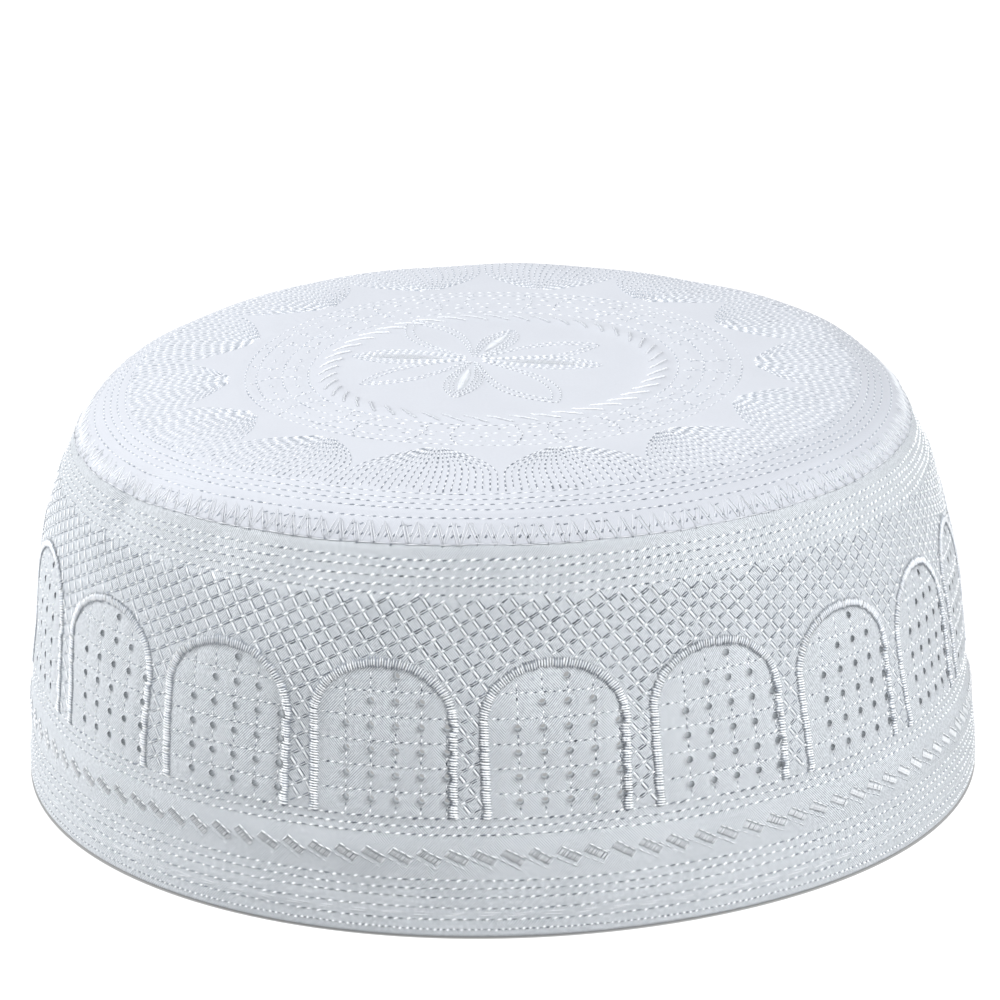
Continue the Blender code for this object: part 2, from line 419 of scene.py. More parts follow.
def make_piece(name, points, quads, tris, finish, corner_uv=None, tint=None, masks=()):
    """A smooth mesh from arrays, riding on the cap's body."""
    quads = np.asarray(quads, dtype=np.int64).reshape(-1, 4)
    tris = np.asarray(tris, dtype=np.int64).reshape(-1, 3)
    corners = np.concatenate((quads.ravel(), tris.ravel()))
    starts = np.concatenate((np.arange(len(quads)) * 4, len(quads) * 4 + np.arange(len(tris)) * 3))
    used, where = np.unique(corners, return_inverse=True)
    mesh = bpy.data.meshes.new(name)
    mesh.vertices.add(len(used))
    mesh.vertices.foreach_set("co", np.ascontiguousarray(points[used], dtype=np.float32).ravel())
    mesh.loops.add(len(corners))
    mesh.loops.foreach_set("vertex_index", where.astype(np.int32))
    mesh.polygons.add(len(starts))
    mesh.polygons.foreach_set("loop_start", starts.astype(np.int32))
    mesh.polygons.foreach_set("use_smooth", np.ones(len(starts), dtype=bool))
    if corner_uv is not None:
        layer = mesh.uv_layers.new(name="UVMap")
        layer.data.foreach_set("uv", np.ascontiguousarray(corner_uv, dtype=np.float32).ravel())
    for label, values in ((("tint", tint),) if tint is not None else ()) + tuple(masks):
        layer = mesh.attributes.new(label, "FLOAT", "POINT")
        layer.data.foreach_set("value", np.ascontiguousarray(values[used], dtype=np.float32))
    mesh.update(calc_edges=True)
    mesh.validate()
    mesh.materials.append(finish)
    piece = bpy.data.objects.new(name, mesh)
    bpy.context.scene.collection.objects.link(piece)
    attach(piece, "root")
    return piece


def ring_grid(columns, rows, first=0):
    """The quads of rows of a closed ring of points, and each corner's column and row."""
    column = np.arange(columns)
    row = np.arange(rows - 1)[:, None]
    after = (column + 1) % columns
    quads = np.stack(
        (
            first + row * columns + column,
            first + row * columns + after,
            first + (row + 1) * columns + after,
            first + (row + 1) * columns + column,
        ),
        -1,
    ).reshape(-1, 4)
    ones = np.ones_like(row + column)
    corner_column = np.stack((ones * column, ones * (column + 1), ones * (column + 1), ones * column), -1)
    corner_row = np.stack((ones * row, ones * row, ones * (row + 1), ones * (row + 1)), -1)
    return quads, corner_column.reshape(-1, 4), corner_row.reshape(-1, 4)


def filled(lines, gap):
    """Lines with more put in between, so that no two are further apart than gap."""
    places = [lines[0]]
    for here in lines[1:]:
        count = max(1, math.ceil((here - places[-1]) / gap - 1e-6))
        start = places[-1]
        places += [start + (here - start) * (i + 1) / count for i in range(count)]
    return np.array(places)


def column_plan(steps, gap, wide_gap):
    """Offsets of the columns of one arch from its middle, and how many lie beside the eyelets."""
    lines = []
    for column in range(EYELET_COLUMNS):
        middle = EYELET_SHIFT + (column - EYELET_COLUMNS // 2) * EYELET_PITCH_ROUND
        lines += [middle + EYELET_RADIUS * step for step in steps]
    beside = filled(lines, gap)
    between = ARCH_PITCH * 90.8 * MM - (beside[-1] - beside[0])
    count = math.ceil(between / wide_gap)
    return beside, count


def eyelet_grid(steps, gap, wide_gap, rows):
    """Even angles of the columns at each row, and the index of each eyelet's first column."""
    beside, count = column_plan(steps, gap, wide_gap)
    radius = radius_at(rows)[:, None]
    inner = beside[None, :] / radius
    last = inner[:, -1:]
    step = (ARCH_PITCH + inner[:, :1] - last) / count
    outer = last + step * np.arange(1, count)[None, :]
    one = np.concatenate((inner, outer), 1)
    middles = ARCH_TURN + ARCH_PITCH * np.arange(ARCH_COUNT)
    even = (middles[None, :, None] + one[:, None, :]).reshape(len(rows), -1)
    firsts = []
    for column in range(EYELET_COLUMNS):
        middle = EYELET_SHIFT + (column - EYELET_COLUMNS // 2) * EYELET_PITCH_ROUND
        firsts.append(int(np.argmin(np.abs(beside - (middle + EYELET_RADIUS * steps[0])))))
    return even, one.shape[1], firsts


def open_eyelets(even, along, rows, per_arch, firsts, steps, lift):
    """Which cells the eyelets take out, with their edges moved onto circles, and the rings of points."""
    span = len(steps) - 1
    columns = even.shape[1]
    taken = np.zeros((len(rows) - 1, columns), dtype=bool)
    rings = []
    for arch in range(ARCH_COUNT):
        centre = ARCH_TURN + ARCH_PITCH * arch
        for row, count in enumerate(EYELETS_BY_ROW):
            height = ARCH_FOOT + FIRST_EYELET_RISE + row * EYELET_PITCH_UP
            low = int(np.argmin(np.abs(rows - (height + EYELET_RADIUS * steps[0]))))
            reach = count // 2
            for column in range(EYELET_COLUMNS // 2 - reach, EYELET_COLUMNS // 2 + reach + 1):
                left = arch * per_arch + firsts[column]
                taken[low : low + span, left : left + span] = True
                aside = EYELET_SHIFT + (column - EYELET_COLUMNS // 2) * EYELET_PITCH_ROUND
                edge = [(i, 0) for i in range(span)] + [(span, i) for i in range(span)]
                edge += [(span - i, span) for i in range(span)] + [(0, span - i) for i in range(span)]
                ring = []
                for i, j in edge:
                    x = steps[i]
                    y = steps[j]
                    size = math.hypot(x, y)
                    index = (low + j) * columns + (left + i) % columns
                    along.flat[index] = height + EYELET_RADIUS * y / size
                    even.flat[index] = centre + (aside + EYELET_RADIUS * x / size) / radius_at(height)
                    ring.append(index)
                rings.append(ring)
    return taken, np.array(rings)


EYELET_STEPS = (-1.0, -0.5, 0.0, 0.5, 1.0)
INNER_STEPS = (-1.0, 0.0, 1.0)


def band_rows(steps, gap):
    """The distances along the section at which the band's outer face has rows of points."""
    lines = [1.0 * MM] + [row * MM for _, row, _, _ in STITCH_ROWS]
    for row in range(len(EYELETS_BY_ROW)):
        height = ARCH_FOOT + FIRST_EYELET_RISE + row * EYELET_PITCH_UP
        lines += [height + EYELET_RADIUS * step for step in steps]
        if row < 5:
            lines.append(ARCH_FOOT + (row + 1) * GRID_UP)
    lines.append(LAP - 0.7 * MM)
    return filled(sorted(lines), gap)


def make_band_cloth(finish):
    """The band's outer face, from the fold at the rim to the step under the crown's edge."""
    rows = band_rows(EYELET_STEPS, 0.95 * MM)
    even, per_arch, firsts = eyelet_grid(EYELET_STEPS, 0.9 * MM, 1.12 * MM, rows)
    along = np.broadcast_to(rows[:, None], even.shape).copy()
    taken, rings = open_eyelets(even, along, rows, per_arch, firsts, EYELET_STEPS, 0.0)
    columns = even.shape[1]
    fold = [(1.0 - math.sin(t), math.cos(t) - 1.0) for t in np.radians((90, 60, 30))]
    step_under = ((LAP - 0.1 * MM, 0.0), (LAP + 0.4 * MM, -0.2), (LAP + 0.8 * MM, -1.5), (LAP + TUCK, -1.5))
    parts = [on_band_row(even[0], place * MM, lift * MM) for place, lift in fold]
    parts += list(on_band(even, along))
    parts += [on_band_row(even[-1], place, lift * MM) for place, lift in step_under]
    points = np.concatenate([part.reshape(-1, 3) for part in parts])
    total = len(points) // columns
    quads, corner_column, corner_row = ring_grid(columns, total)
    keep = np.ones((total - 1, columns), dtype=bool)
    keep[len(fold) : len(fold) + len(rows) - 1][taken] = False
    keep = keep.ravel()
    quads, corner_column, corner_row = quads[keep], corner_column[keep], corner_row[keep]
    flat_even = np.concatenate([even[:1]] * len(fold) + [even] + [even[-1:]] * len(step_under))
    flat_along = np.concatenate(
        [np.full((1, columns), place * MM) for place, _ in fold]
        + [along]
        + [np.full((1, columns), place) for place, _ in step_under]
    )
    turned = flat_even[corner_row, corner_column % columns] + TURN * (corner_column >= columns)
    uv = np.stack((turned * 90.8 * MM, flat_along[corner_row, corner_column % columns]), -1)
    rings = rings + len(fold) * columns
    deep = on_band_deep(even, along, rings - len(fold) * columns, BAND_WALL)
    first = len(points)
    points = np.concatenate((points, deep.reshape(-1, 3)))
    count = rings.shape[1]
    inner = first + np.arange(rings.size).reshape(rings.shape)
    tube = np.stack((rings, inner, np.roll(inner, -1, 1), np.roll(rings, -1, 1)), -1).reshape(-1, 4)
    ring_even = even.ravel()[rings - len(fold) * columns]
    ring_along = along.ravel()[rings - len(fold) * columns]
    edge_uv = np.stack((ring_even * 90.8 * MM, ring_along), -1)
    tube_uv = np.stack((edge_uv, edge_uv, np.roll(edge_uv, -1, 1), np.roll(edge_uv, -1, 1)), 2).reshape(-1, 4, 2)
    quads = np.concatenate((quads, tube))
    uv = np.concatenate((uv, tube_uv))
    aside, rise = arch_place(flat_even, flat_along)
    depth = arch_depth(aside, rise)
    outside = step_up(-depth, 0.9 * MM, 1.6 * MM)
    quilt = outside * step_up(flat_along, LATTICE_FOOT - MM, LATTICE_FOOT) * step_up(-flat_along, -65.6 * MM, -64.9 * MM)
    quilt = np.concatenate((quilt.ravel(), np.zeros(rings.size)))
    # Painted light: the cloth material gives the eyelet walls a lighter grey and a glow of their own.
    hollow = np.concatenate((np.zeros(first), np.ones(rings.size)))
    piece = make_piece(
        "band_cloth", points, quads, [], finish, uv.reshape(-1, 2), None,
        (("quilt", quilt), ("hollow", hollow)),
    )
    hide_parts("side_band")
    return count


def on_band_row(even, along, lift):
    """One row of points round the band, with its lift from the smooth surface there."""
    return surface(spread(even), along, lift + band_relief(even, np.full(even.shape, along)))


def on_band_deep(even, along, rings, depth):
    """The far ends of the eyelets."""
    ring_even = even.ravel()[rings]
    ring_along = along.ravel()[rings]
    return surface(spread(ring_even), ring_along, -depth)


def make_band_inside(finish):
    """The band's inner face and the inner half of the fold at the rim."""
    rows = band_rows(INNER_STEPS, 2.2 * MM)
    rows = rows[rows < LAP - 2 * MM]
    even, per_arch, firsts = eyelet_grid(INNER_STEPS, 3.5 * MM, 3.2 * MM, rows)
    along = np.broadcast_to(rows[:, None], even.shape).copy()
    taken, _ = open_eyelets(even, along, rows, per_arch, firsts, INNER_STEPS, 0.0)
    columns = even.shape[1]
    fold = [(1.0 - math.cos(t), -1.0 - math.sin(t)) for t in np.radians((0, 30, 60))]
    top = ((LAP - 1.6 * MM, -2.0), (LAP + 0.2 * MM, -3.3), (LAP + TUCK, -3.3), (LAP + TUCK, -1.5))
    parts = [surface(spread(even[0]), place * MM, lift * MM) for place, lift in fold]
    parts += list(surface(spread(even), along, -BAND_WALL))
    parts += [surface(spread(even[-1]), place, lift * MM) for place, lift in top]
    parts[0] = on_band_row(even[0], 0.0, -1.0 * MM)
    points = np.concatenate([part.reshape(-1, 3) for part in parts])
    total = len(points) // columns
    quads, corner_column, corner_row = ring_grid(columns, total)
    keep = np.ones((total - 1, columns), dtype=bool)
    keep[len(fold) : len(fold) + len(rows) - 1][taken] = False
    keep = keep.ravel()
    quads = quads[keep][:, ::-1]
    corner_column = corner_column[keep][:, ::-1]
    corner_row = corner_row[keep][:, ::-1]
    heights = np.concatenate(([place * MM for place, _ in fold], rows, [place for place, _ in top]))
    uv = np.stack((corner_column / columns * TURN * 90.8 * MM, heights[corner_row]), -1)
    none = np.zeros(len(points))
    piece = make_piece(
        "band_inside", points, quads, [], finish, uv.reshape(-1, 2), None,
        (("quilt", none), ("hollow", none)),
    )
    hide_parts("side_band")


def disc_rows(start, end, gap, lines=()):
    """Distances along the section from start to end, through lines."""
    return filled([start] + [line for line in lines if start < line < end] + [end], gap)


def make_crown_cloth(finish):
    """The crown: its turned edge, its shoulder and its top, with fewer columns towards the middle."""
    lip = ((0.9, -1.0), (0.35, -0.75), (0.0, -0.45), (0.15, -0.12))
    outer = disc_rows(LAP + 0.5 * MM, along_of_radius(41 * MM), 0.85 * MM, [row * MM for _, row, _, _ in CROWN_ROWS])
    middle = disc_rows(along_of_radius(40.3 * MM), along_of_radius(12 * MM), 0.8 * MM)
    inner = disc_rows(along_of_radius(11.2 * MM), along_of_radius(0.8 * MM), 0.9 * MM)
    points = []
    quads = []
    tris = []
    rings = []
    first = 0
    for columns, rows in ((612, outer), (306, middle), (102, inner)):
        angle = TURN * np.arange(columns) / columns
        if columns == 612:
            for place, lift in lip:
                points.append(on_crown(angle, np.full(columns, LAP + place * MM), lift * MM))
            count = len(lip) + len(rows)
        else:
            count = len(rows)
        for row in rows:
            points.append(on_crown(angle, np.full(columns, row)))
        quads.append(ring_grid(columns, count, first)[0])
        rings.append((columns, first, first + (count - 1) * columns))
        first += count * columns
    for (many, _, last), (few, start, _) in zip(rings, rings[1:]):
        share = many // few
        for i in range(few):
            edge = [last + (i * share + k) % many for k in range(share + 1)]
            here = start + i
            after = start + (i + 1) % few
            split = (share + 1) // 2
            tris += [(edge[k], edge[k + 1], here) for k in range(split)]
            tris.append((edge[split], after, here))
            tris += [(edge[k], edge[k + 1], after) for k in range(split, share)]
    columns, _, last = rings[-1]
    points.append(on_crown(np.zeros(1), np.full(1, SECTION_LENGTH)))
    tris += [(last + i, last + (i + 1) % columns, first) for i in range(columns)]
    points = np.concatenate(points)
    quads = np.concatenate(quads)
    corners = np.concatenate((quads.ravel(), np.array(tris).ravel()))
    uv = points[corners][:, :2]
    none = np.zeros(len(points))
    piece = make_piece(
        "crown_cloth", points, quads, tris, finish, uv, None, (("quilt", none), ("hollow", none))
    )
    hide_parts("crown")


def make_crown_inside(finish):
    """The crown's underside."""
    columns = 153
    rows = disc_rows(LAP, along_of_radius(3 * MM), 2.4 * MM)
    angle = TURN * np.arange(columns) / columns
    points = [surface(angle, np.full(columns, row), LAP_PROUD - CROWN_WALL) for row in rows]
    points[0] = on_crown(angle, np.full(columns, LAP + 0.7 * MM), -CROWN_WALL)
    points.append(surface(np.zeros(1), np.full(1, SECTION_LENGTH), LAP_PROUD - CROWN_WALL))
    points = np.concatenate(points)
    quads = ring_grid(columns, len(rows))[0][:, ::-1]
    last = (len(rows) - 1) * columns
    tris = np.array([(last + (i + 1) % columns, last + i, last + columns) for i in range(columns)])
    corners = np.concatenate((quads.ravel(), tris.ravel()))
    none = np.zeros(len(points))
    piece = make_piece(
        "crown_inside", points, quads, tris, finish, points[corners][:, :2], None,
        (("quilt", none), ("hollow", none)),
    )
    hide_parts("crown")


def make_hem_cloth(finish):
    """The strip turned up inside the rim, with a rounded edge top and bottom."""
    columns = 306
    inset = BAND_WALL + CLEARANCE
    half = HEM_WALL / 2
    loop = []
    for t in np.radians((0, 60, 120, 180)):
        loop.append((HEM_WIDTH - half + half * math.sin(t), -inset - half + half * math.cos(t)))
    for place in (4.0 * MM, 2.4 * MM):
        loop.append((place, -inset - HEM_WALL))
    for t in np.radians((180, 240, 300, 360)):
        loop.append((half + half * math.sin(t), -inset - half + half * math.cos(t)))
    for place in (2.4 * MM, 4.0 * MM):
        loop.append((place, -inset))
    loop.append(loop[0])
    angle = TURN * np.arange(columns) / columns
    points = np.concatenate([surface(angle, np.full(columns, place), lift) for place, lift in loop[:-1]])
    quads, corner_column, corner_row = ring_grid(columns, len(loop))
    quads = quads % len(points)
    run = np.concatenate(([0.0], np.cumsum(np.linalg.norm(np.diff(np.array(loop), axis=0), axis=1))))
    uv = np.stack((corner_column / columns * TURN * 92 * MM, run[corner_row]), -1)
    none = np.zeros(len(points))
    piece = make_piece(
        "hem_cloth", points, quads, [], finish, uv.reshape(-1, 2), None,
        (("quilt", none), ("hollow", none)),
    )
    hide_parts("hem")


class Seam:
    """Stitches gathered for one piece: ends, widths, heights and tints."""

    def __init__(self, place):
        self.place = place
        self.rows = []

    def add(self, start, end, width, height, tint=1.0, lift=0.0, loft=0.0):
        """Adds stitches between places given as (n, 2) arrays."""
        start = np.asarray(start, dtype=float).reshape(-1, 2)
        end = np.asarray(end, dtype=float).reshape(-1, 2)
        count = len(start)
        if not count:
            return
        ends = np.concatenate((start, end), 1)
        sizes = np.empty((count, 5))
        sizes[:] = np.stack(np.broadcast_arrays(width, height, tint, lift, loft), -1)
        self.rows.append(np.concatenate((ends, sizes), 1))

    def count(self):
        """How many stitches there are."""
        return sum(len(row) for row in self.rows)


# Rings of points round a stitch: share of its length, and shares of its width, height and tint; the lower tint
# towards the ends is painted shade where the thread goes into the cloth.
LONG_RINGS = ((0.12, 0.62, 0.55, 0.72), (0.3, 1.0, 1.0, 1.0), (0.7, 1.0, 1.0, 1.0), (0.88, 0.62, 0.55, 0.72))
SHORT_RINGS = ((0.15, 0.76, 0.68, 0.8), (0.5, 1.04, 1.04, 1.0), (0.85, 0.76, 0.68, 0.8))
TIP_PAINTED_SHADE = 0.35
MARK_RIM = ((-0.5, -0.62), (-0.37, 1.1), (0.5, 0.62), (0.37, -1.1))
SINK = 0.10 * MM


def sew(name, seam, finish, rings=SHORT_RINGS):
    """Turns a seam's stitches into one mesh of short closed threads, each lying on the cloth."""
    rows = np.concatenate(seam.rows)
    count = len(rows)
    shake = RNG.normal(0.0, 1.0, (count, 6))
    width = rows[:, 4] * (1 + 0.09 * shake[:, 0])
    height = rows[:, 5] * (1 + 0.12 * shake[:, 1])
    tint = rows[:, 6] * (1 + 0.035 * shake[:, 2])
    lift = rows[:, 7]
    tip = seam.place(rows[:, 0], rows[:, 1], lift - SINK)
    tail = seam.place(rows[:, 2], rows[:, 3], lift - SINK)
    mid_u = (rows[:, 0] + rows[:, 2]) / 2
    mid_v = (rows[:, 1] + rows[:, 3]) / 2
    mid = seam.place(mid_u, mid_v, lift)
    normal = seam.place(mid_u, mid_v, lift + 0.4 * MM) - mid
    normal /= np.linalg.norm(normal, axis=1, keepdims=True)
    axis = tail - tip
    long = np.linalg.norm(axis, axis=1, keepdims=True)
    axis = axis / np.maximum(long, 1e-9)
    side = np.cross(axis, normal)
    side /= np.linalg.norm(side, axis=1, keepdims=True)
    turn = side * (0.05 * MM) * shake[:, 3:4]
    tip = tip + turn
    tail = tail - turn
    middle = (tip + tail) / 2
    bulge = mid - middle
    last = 1 + 3 * len(rings)
    points = np.empty((count, last + 1, 3))
    tints = np.empty((count, last + 1))
    runs = np.empty((count, last + 1))
    rounds = np.zeros((count, last + 1))
    points[:, 0] = tip
    points[:, last] = tail
    # Painted shade: the ends of each stitch, where it goes into the cloth, are darker.
    tints[:, (0, last)] = TIP_PAINTED_SHADE
    runs[:, 0] = 0.0
    runs[:, last] = 1.0
    for ring, (t, wide, tall, shade) in enumerate(rings):
        centre = tip + axis * long * t + bulge * (1 - (2 * t - 1) ** 4)
        centre = centre + normal * (rows[:, 8] * 4 * t * (1 - t))[:, None]
        half = (width * wide / 2)[:, None]
        high = (height * tall)[:, None]
        at = 1 + 3 * ring
        points[:, at] = centre - side * half - normal * SINK * 0.3
        points[:, at + 1] = centre + normal * high
        points[:, at + 2] = centre + side * half - normal * SINK * 0.3
        tints[:, at : at + 3] = shade
        runs[:, at : at + 3] = t
        rounds[:, at : at + 3] = np.array([0.0, 0.5, 1.0])
    tints *= tint[:, None]
    quad = [
        (1 + 3 * r + k, 1 + 3 * r + (k + 1) % 3, 1 + 3 * (r + 1) + (k + 1) % 3, 1 + 3 * (r + 1) + k)
        for r in range(len(rings) - 1)
        for k in range(3)
    ]
    tri = [(0, 1 + (k + 1) % 3, 1 + k) for k in range(3)]
    tri += [(last - 3 + k, last - 3 + (k + 1) % 3, last) for k in range(3)]
    base = (np.arange(count) * (last + 1))[:, None, None]
    quads = (base + np.array(quad)[None]).reshape(-1, 4)
    tris = (base + np.array(tri)[None]).reshape(-1, 3)
    per_point = np.stack((runs * long / MM, rounds), -1).reshape(-1, 2)
    corners = np.concatenate((quads.ravel(), tris.ravel()))
    return make_piece(
        name, points.reshape(-1, 3), quads, tris, finish, per_point[corners], tints.ravel()
    )


def mark(name, places, place, finish, tone=0.22, wobble=1.0):
    """Small dark pieces of painted shade laid on the cloth where the needle draws the thread down: (u, v, end u, end
    v, width).
    """
    rows = np.concatenate(places)
    count = len(rows)
    shake = RNG.normal(0.0, 1.0, (count, 3)) * wobble
    one = place(rows[:, 0], rows[:, 1], 0.0)
    two = place(rows[:, 2], rows[:, 3], 0.0)
    mid_u = (rows[:, 0] + rows[:, 2]) / 2
    mid_v = (rows[:, 1] + rows[:, 3]) / 2
    mid = place(mid_u, mid_v, 0.0)
    normal = place(mid_u, mid_v, 0.4 * MM) - mid
    normal /= np.linalg.norm(normal, axis=1, keepdims=True)
    axis = two - one
    side = np.cross(axis, normal)
    side /= np.maximum(np.linalg.norm(side, axis=1, keepdims=True), 1e-12)
    half = (rows[:, 4] / 2 * (1 + 0.15 * shake[:, 0]))[:, None]
    axis = axis * (1 + 0.12 * shake[:, 1:2])
    points = [mid + axis * x + side * half * y - normal * 0.02 * MM for x, y in MARK_RIM]
    points += [mid + normal * 0.09 * MM]
    points = np.stack(points, 1)
    tri = [(0, 3, 4), (3, 2, 4), (2, 1, 4), (1, 0, 4)]
    quad = [(0, 1, 2, 3)]
    base = (np.arange(count) * 5)[:, None, None]
    tris = (base + np.array(tri)[None]).reshape(-1, 3)
    quads = (base + np.array(quad)[None]).reshape(-1, 4)
    # The painted shade is lighter round the sides of the cap, away from the front.
    aside = np.abs(turned(np.arctan2(mid[:, 1], mid[:, 0]), -88.0))
    tone = tone + 0.42 * step_up(aside, math.radians(12), math.radians(62))
    tint = np.repeat(np.clip(tone + 0.09 * shake[:, 2], 0.0, 1.0), 5)
    return make_piece(name, points.reshape(-1, 3), quads, tris, finish, None, tint)


def pairs(u, v):
    """Two arrays side by side."""
    return np.stack(np.broadcast_arrays(u, v), -1)


def running_row(along, pitch, share, slant, radius):
    """The stitches of one row of running stitch, and the places of the painted shade between them."""
    count = int(round(TURN * radius / (pitch * MM)))
    step = TURN / count
    middle = (np.arange(count) + RNG.uniform(0, 1) + RNG.normal(0, 0.07, count)) * step
    half = share * step / 2 * (1 + RNG.normal(0, 0.16, count))
    wave = 0.10 * MM * np.sin(middle * 13 + along / MM) + RNG.normal(0, 0.03 * MM, count)
    lean = np.tan(np.radians(slant + RNG.normal(0, 7.0, count)))
    rise = half * radius * lean
    start = pairs(middle - half, along + wave - rise)
    end = pairs(middle + half, along + wave + rise)
    gap = middle + step / 2
    reach = (1 - share) * step * 0.52
    tip = reach * radius * lean * 0.8
    hollow = np.stack((gap - reach, along + wave - tip, gap + reach, along + wave + tip), -1)
    return start, end, hollow


def sew_rows(thread, crown_thread_painted_shade, dark):
    """The rows of running stitch round the band and round the crown's edge."""
    band = Seam(on_band)
    marks = []
    for _, row, pitch, share in STITCH_ROWS:
        slant = 32.0 if row > 60 else 20.0
        start, end, hollow = running_row(row * MM, pitch, share, slant, radius_at(row * MM))
        band.add(start, end, 0.46 * MM, 0.30 * MM)
        marks.append(np.concatenate((hollow, np.full((len(hollow), 1), 0.52 * MM)), 1))
    sew("thread_band_rows", band, thread, LONG_RINGS)
    # Painted shade in the gaps between the band's row stitches.
    mark("painted_shade_band_rows", marks, on_band, dark)
    crown = Seam(on_crown)
    marks = []
    for _, row, pitch, share in CROWN_ROWS:
        start, end, hollow = running_row(row * MM, pitch, share, 9.0, radius_at(row * MM))
        crown.add(start, end, 0.34 * MM, 0.20 * MM)
        marks.append(np.concatenate((hollow, np.full((len(hollow), 1), 0.66 * MM)), 1))
    sew("thread_crown_rows", crown, crown_thread_painted_shade)
    # Painted shade in the gaps between the crown's row stitches.
    mark("painted_shade_crown_rows", marks, on_crown, dark, 0.40)


def sew_floats(thread):
    """The long floats of thread just above the rim."""
    seam = Seam(on_band)
    for row, along in enumerate(FLOAT_ROWS):
        radius = radius_at(along)
        count = int(round(TURN * radius / FLOAT_PITCH))
        step = TURN / count
        middle = (np.arange(count) + 0.37 * row + RNG.normal(0, 0.03, count)) * step
        half = 0.40 * step * (1 + RNG.normal(0, 0.12, count))
        tilt = RNG.normal(0, 0.12 * MM, count)
        seam.add(pairs(middle - half, along - tilt), pairs(middle + half, along + tilt), 0.17 * MM, 0.10 * MM, 0.7)
    return seam


def sew_bars(thread, dark):
    """The slanted satin bars above the low rows, each with a line along its lower edge."""
    seam = sew_floats(thread)
    step = TURN / BAR_COUNT
    radius = radius_at(BAR_ALONG)
    middles = BAR_TURN + (np.arange(BAR_COUNT) + RNG.normal(0, 0.02, BAR_COUNT)) * step
    tilt = BAR_SLANT + RNG.normal(0, 0.05, BAR_COUNT)
    lean = np.stack((np.cos(tilt), np.sin(tilt)), -1)
    across = np.stack((-np.sin(tilt), np.cos(tilt)), -1)
    marks = []
    for strand in range(2 * BAR_STRANDS - 1):
        along_bar = (strand / (2 * BAR_STRANDS - 2) - 0.5) * BAR_LENGTH
        centre = lean * along_bar
        skew = lean * 0.22 * MM
        low = centre - across * BAR_WIDTH / 2 - skew
        high = centre + across * BAR_WIDTH / 2 + skew
        start = pairs(middles + low[:, 0] / radius, BAR_ALONG + low[:, 1])
        end = pairs(middles + high[:, 0] / radius, BAR_ALONG + high[:, 1])
        # Painted shade in the gaps between the bars' satin strands.
        if strand % 2:
            marks.append(np.concatenate((start, end, np.full((BAR_COUNT, 1), 0.15 * MM)), 1))
        else:
            seam.add(start, end, 0.26 * MM, 0.20 * MM, 0.74, 0.0, 0.10 * MM)
    for part in range(3):
        start_at = (part / 3 - 0.5) * BAR_LENGTH
        low = lean * start_at + across * 0.98 * MM
        high = lean * (start_at + BAR_LENGTH / 3) + across * 0.98 * MM
        start = pairs(middles + low[:, 0] / radius, BAR_ALONG + low[:, 1])
        end = pairs(middles + high[:, 0] / radius, BAR_ALONG + high[:, 1])
        seam.add(start, end, 0.26 * MM, 0.26 * MM, 1.0, 0.10 * MM)
    for part in range(4):
        start_at = -3.4 * MM + part * 1.5 * MM
        low = lean * start_at - across * 1.35 * MM
        high = lean * (start_at + 1.4 * MM) - across * 1.40 * MM
        start = pairs(middles + low[:, 0] / radius, BAR_ALONG + low[:, 1])
        end = pairs(middles + high[:, 0] / radius, BAR_ALONG + high[:, 1])
        seam.add(start, end, 0.22 * MM, 0.12 * MM, 0.8)
        # Painted shadow just under each short line.
        marks.append(np.concatenate((start - (0, 0.14 * MM), end - (0, 0.14 * MM), np.full((BAR_COUNT, 1), 0.16 * MM)), 1))
    mark("painted_shade_bars", marks, on_band, dark)
    sew("thread_bars", seam, thread, LONG_RINGS)


def lattice_nodes():
    """The lattice's nodes as even angle and distance along the section, and its two steps."""
    up, down = LATTICE_CELLS
    around = TURN * LATTICE_RADIUS
    fall = LATTICE_RISE * up / down
    run = around / up - LATTICE_LEAN * down / up
    one = np.array([run, LATTICE_RISE])
    two = np.array([-LATTICE_LEAN, fall])
    i, j = np.meshgrid(np.arange(-130, 300), np.arange(-130, 150))
    x = i * one[0] + j * two[0]
    y = i * one[1] + j * two[1]
    keep = (x >= 0) & (x < around - 1e-9)
    keep &= (y > LATTICE_FOOT - LATTICE_NODE[1] - 4 * MM) & (y < LATTICE_TOP - LATTICE_NODE[1] + 4 * MM)
    return np.stack((x[keep], y[keep]), -1), one, two


def in_lattice(places, inset):
    """Whether places of the lattice lie clear of the arches and of the rows round it."""
    even = LATTICE_NODE[0] + places[:, 0] / LATTICE_RADIUS
    along = LATTICE_NODE[1] + places[:, 1]
    aside, rise = arch_place(even, along)
    clear = arch_depth(aside, rise) < -inset
    return clear & (along > LATTICE_FOOT - 0.4 * MM + inset) & (along < LATTICE_TOP + 0.7 * MM - inset)


def lattice_pairs(start, end):
    """The ends of lattice stitches as even angle and distance along, of those that lie in it."""
    keep = in_lattice(start, 0.2 * MM) & in_lattice(end, 0.2 * MM) & in_lattice((start + end) / 2, 1.0 * MM)
    shift = np.array([LATTICE_NODE])
    scale = np.array([[1 / LATTICE_RADIUS, 1.0]])
    return shift + start[keep] * scale, shift + end[keep] * scale


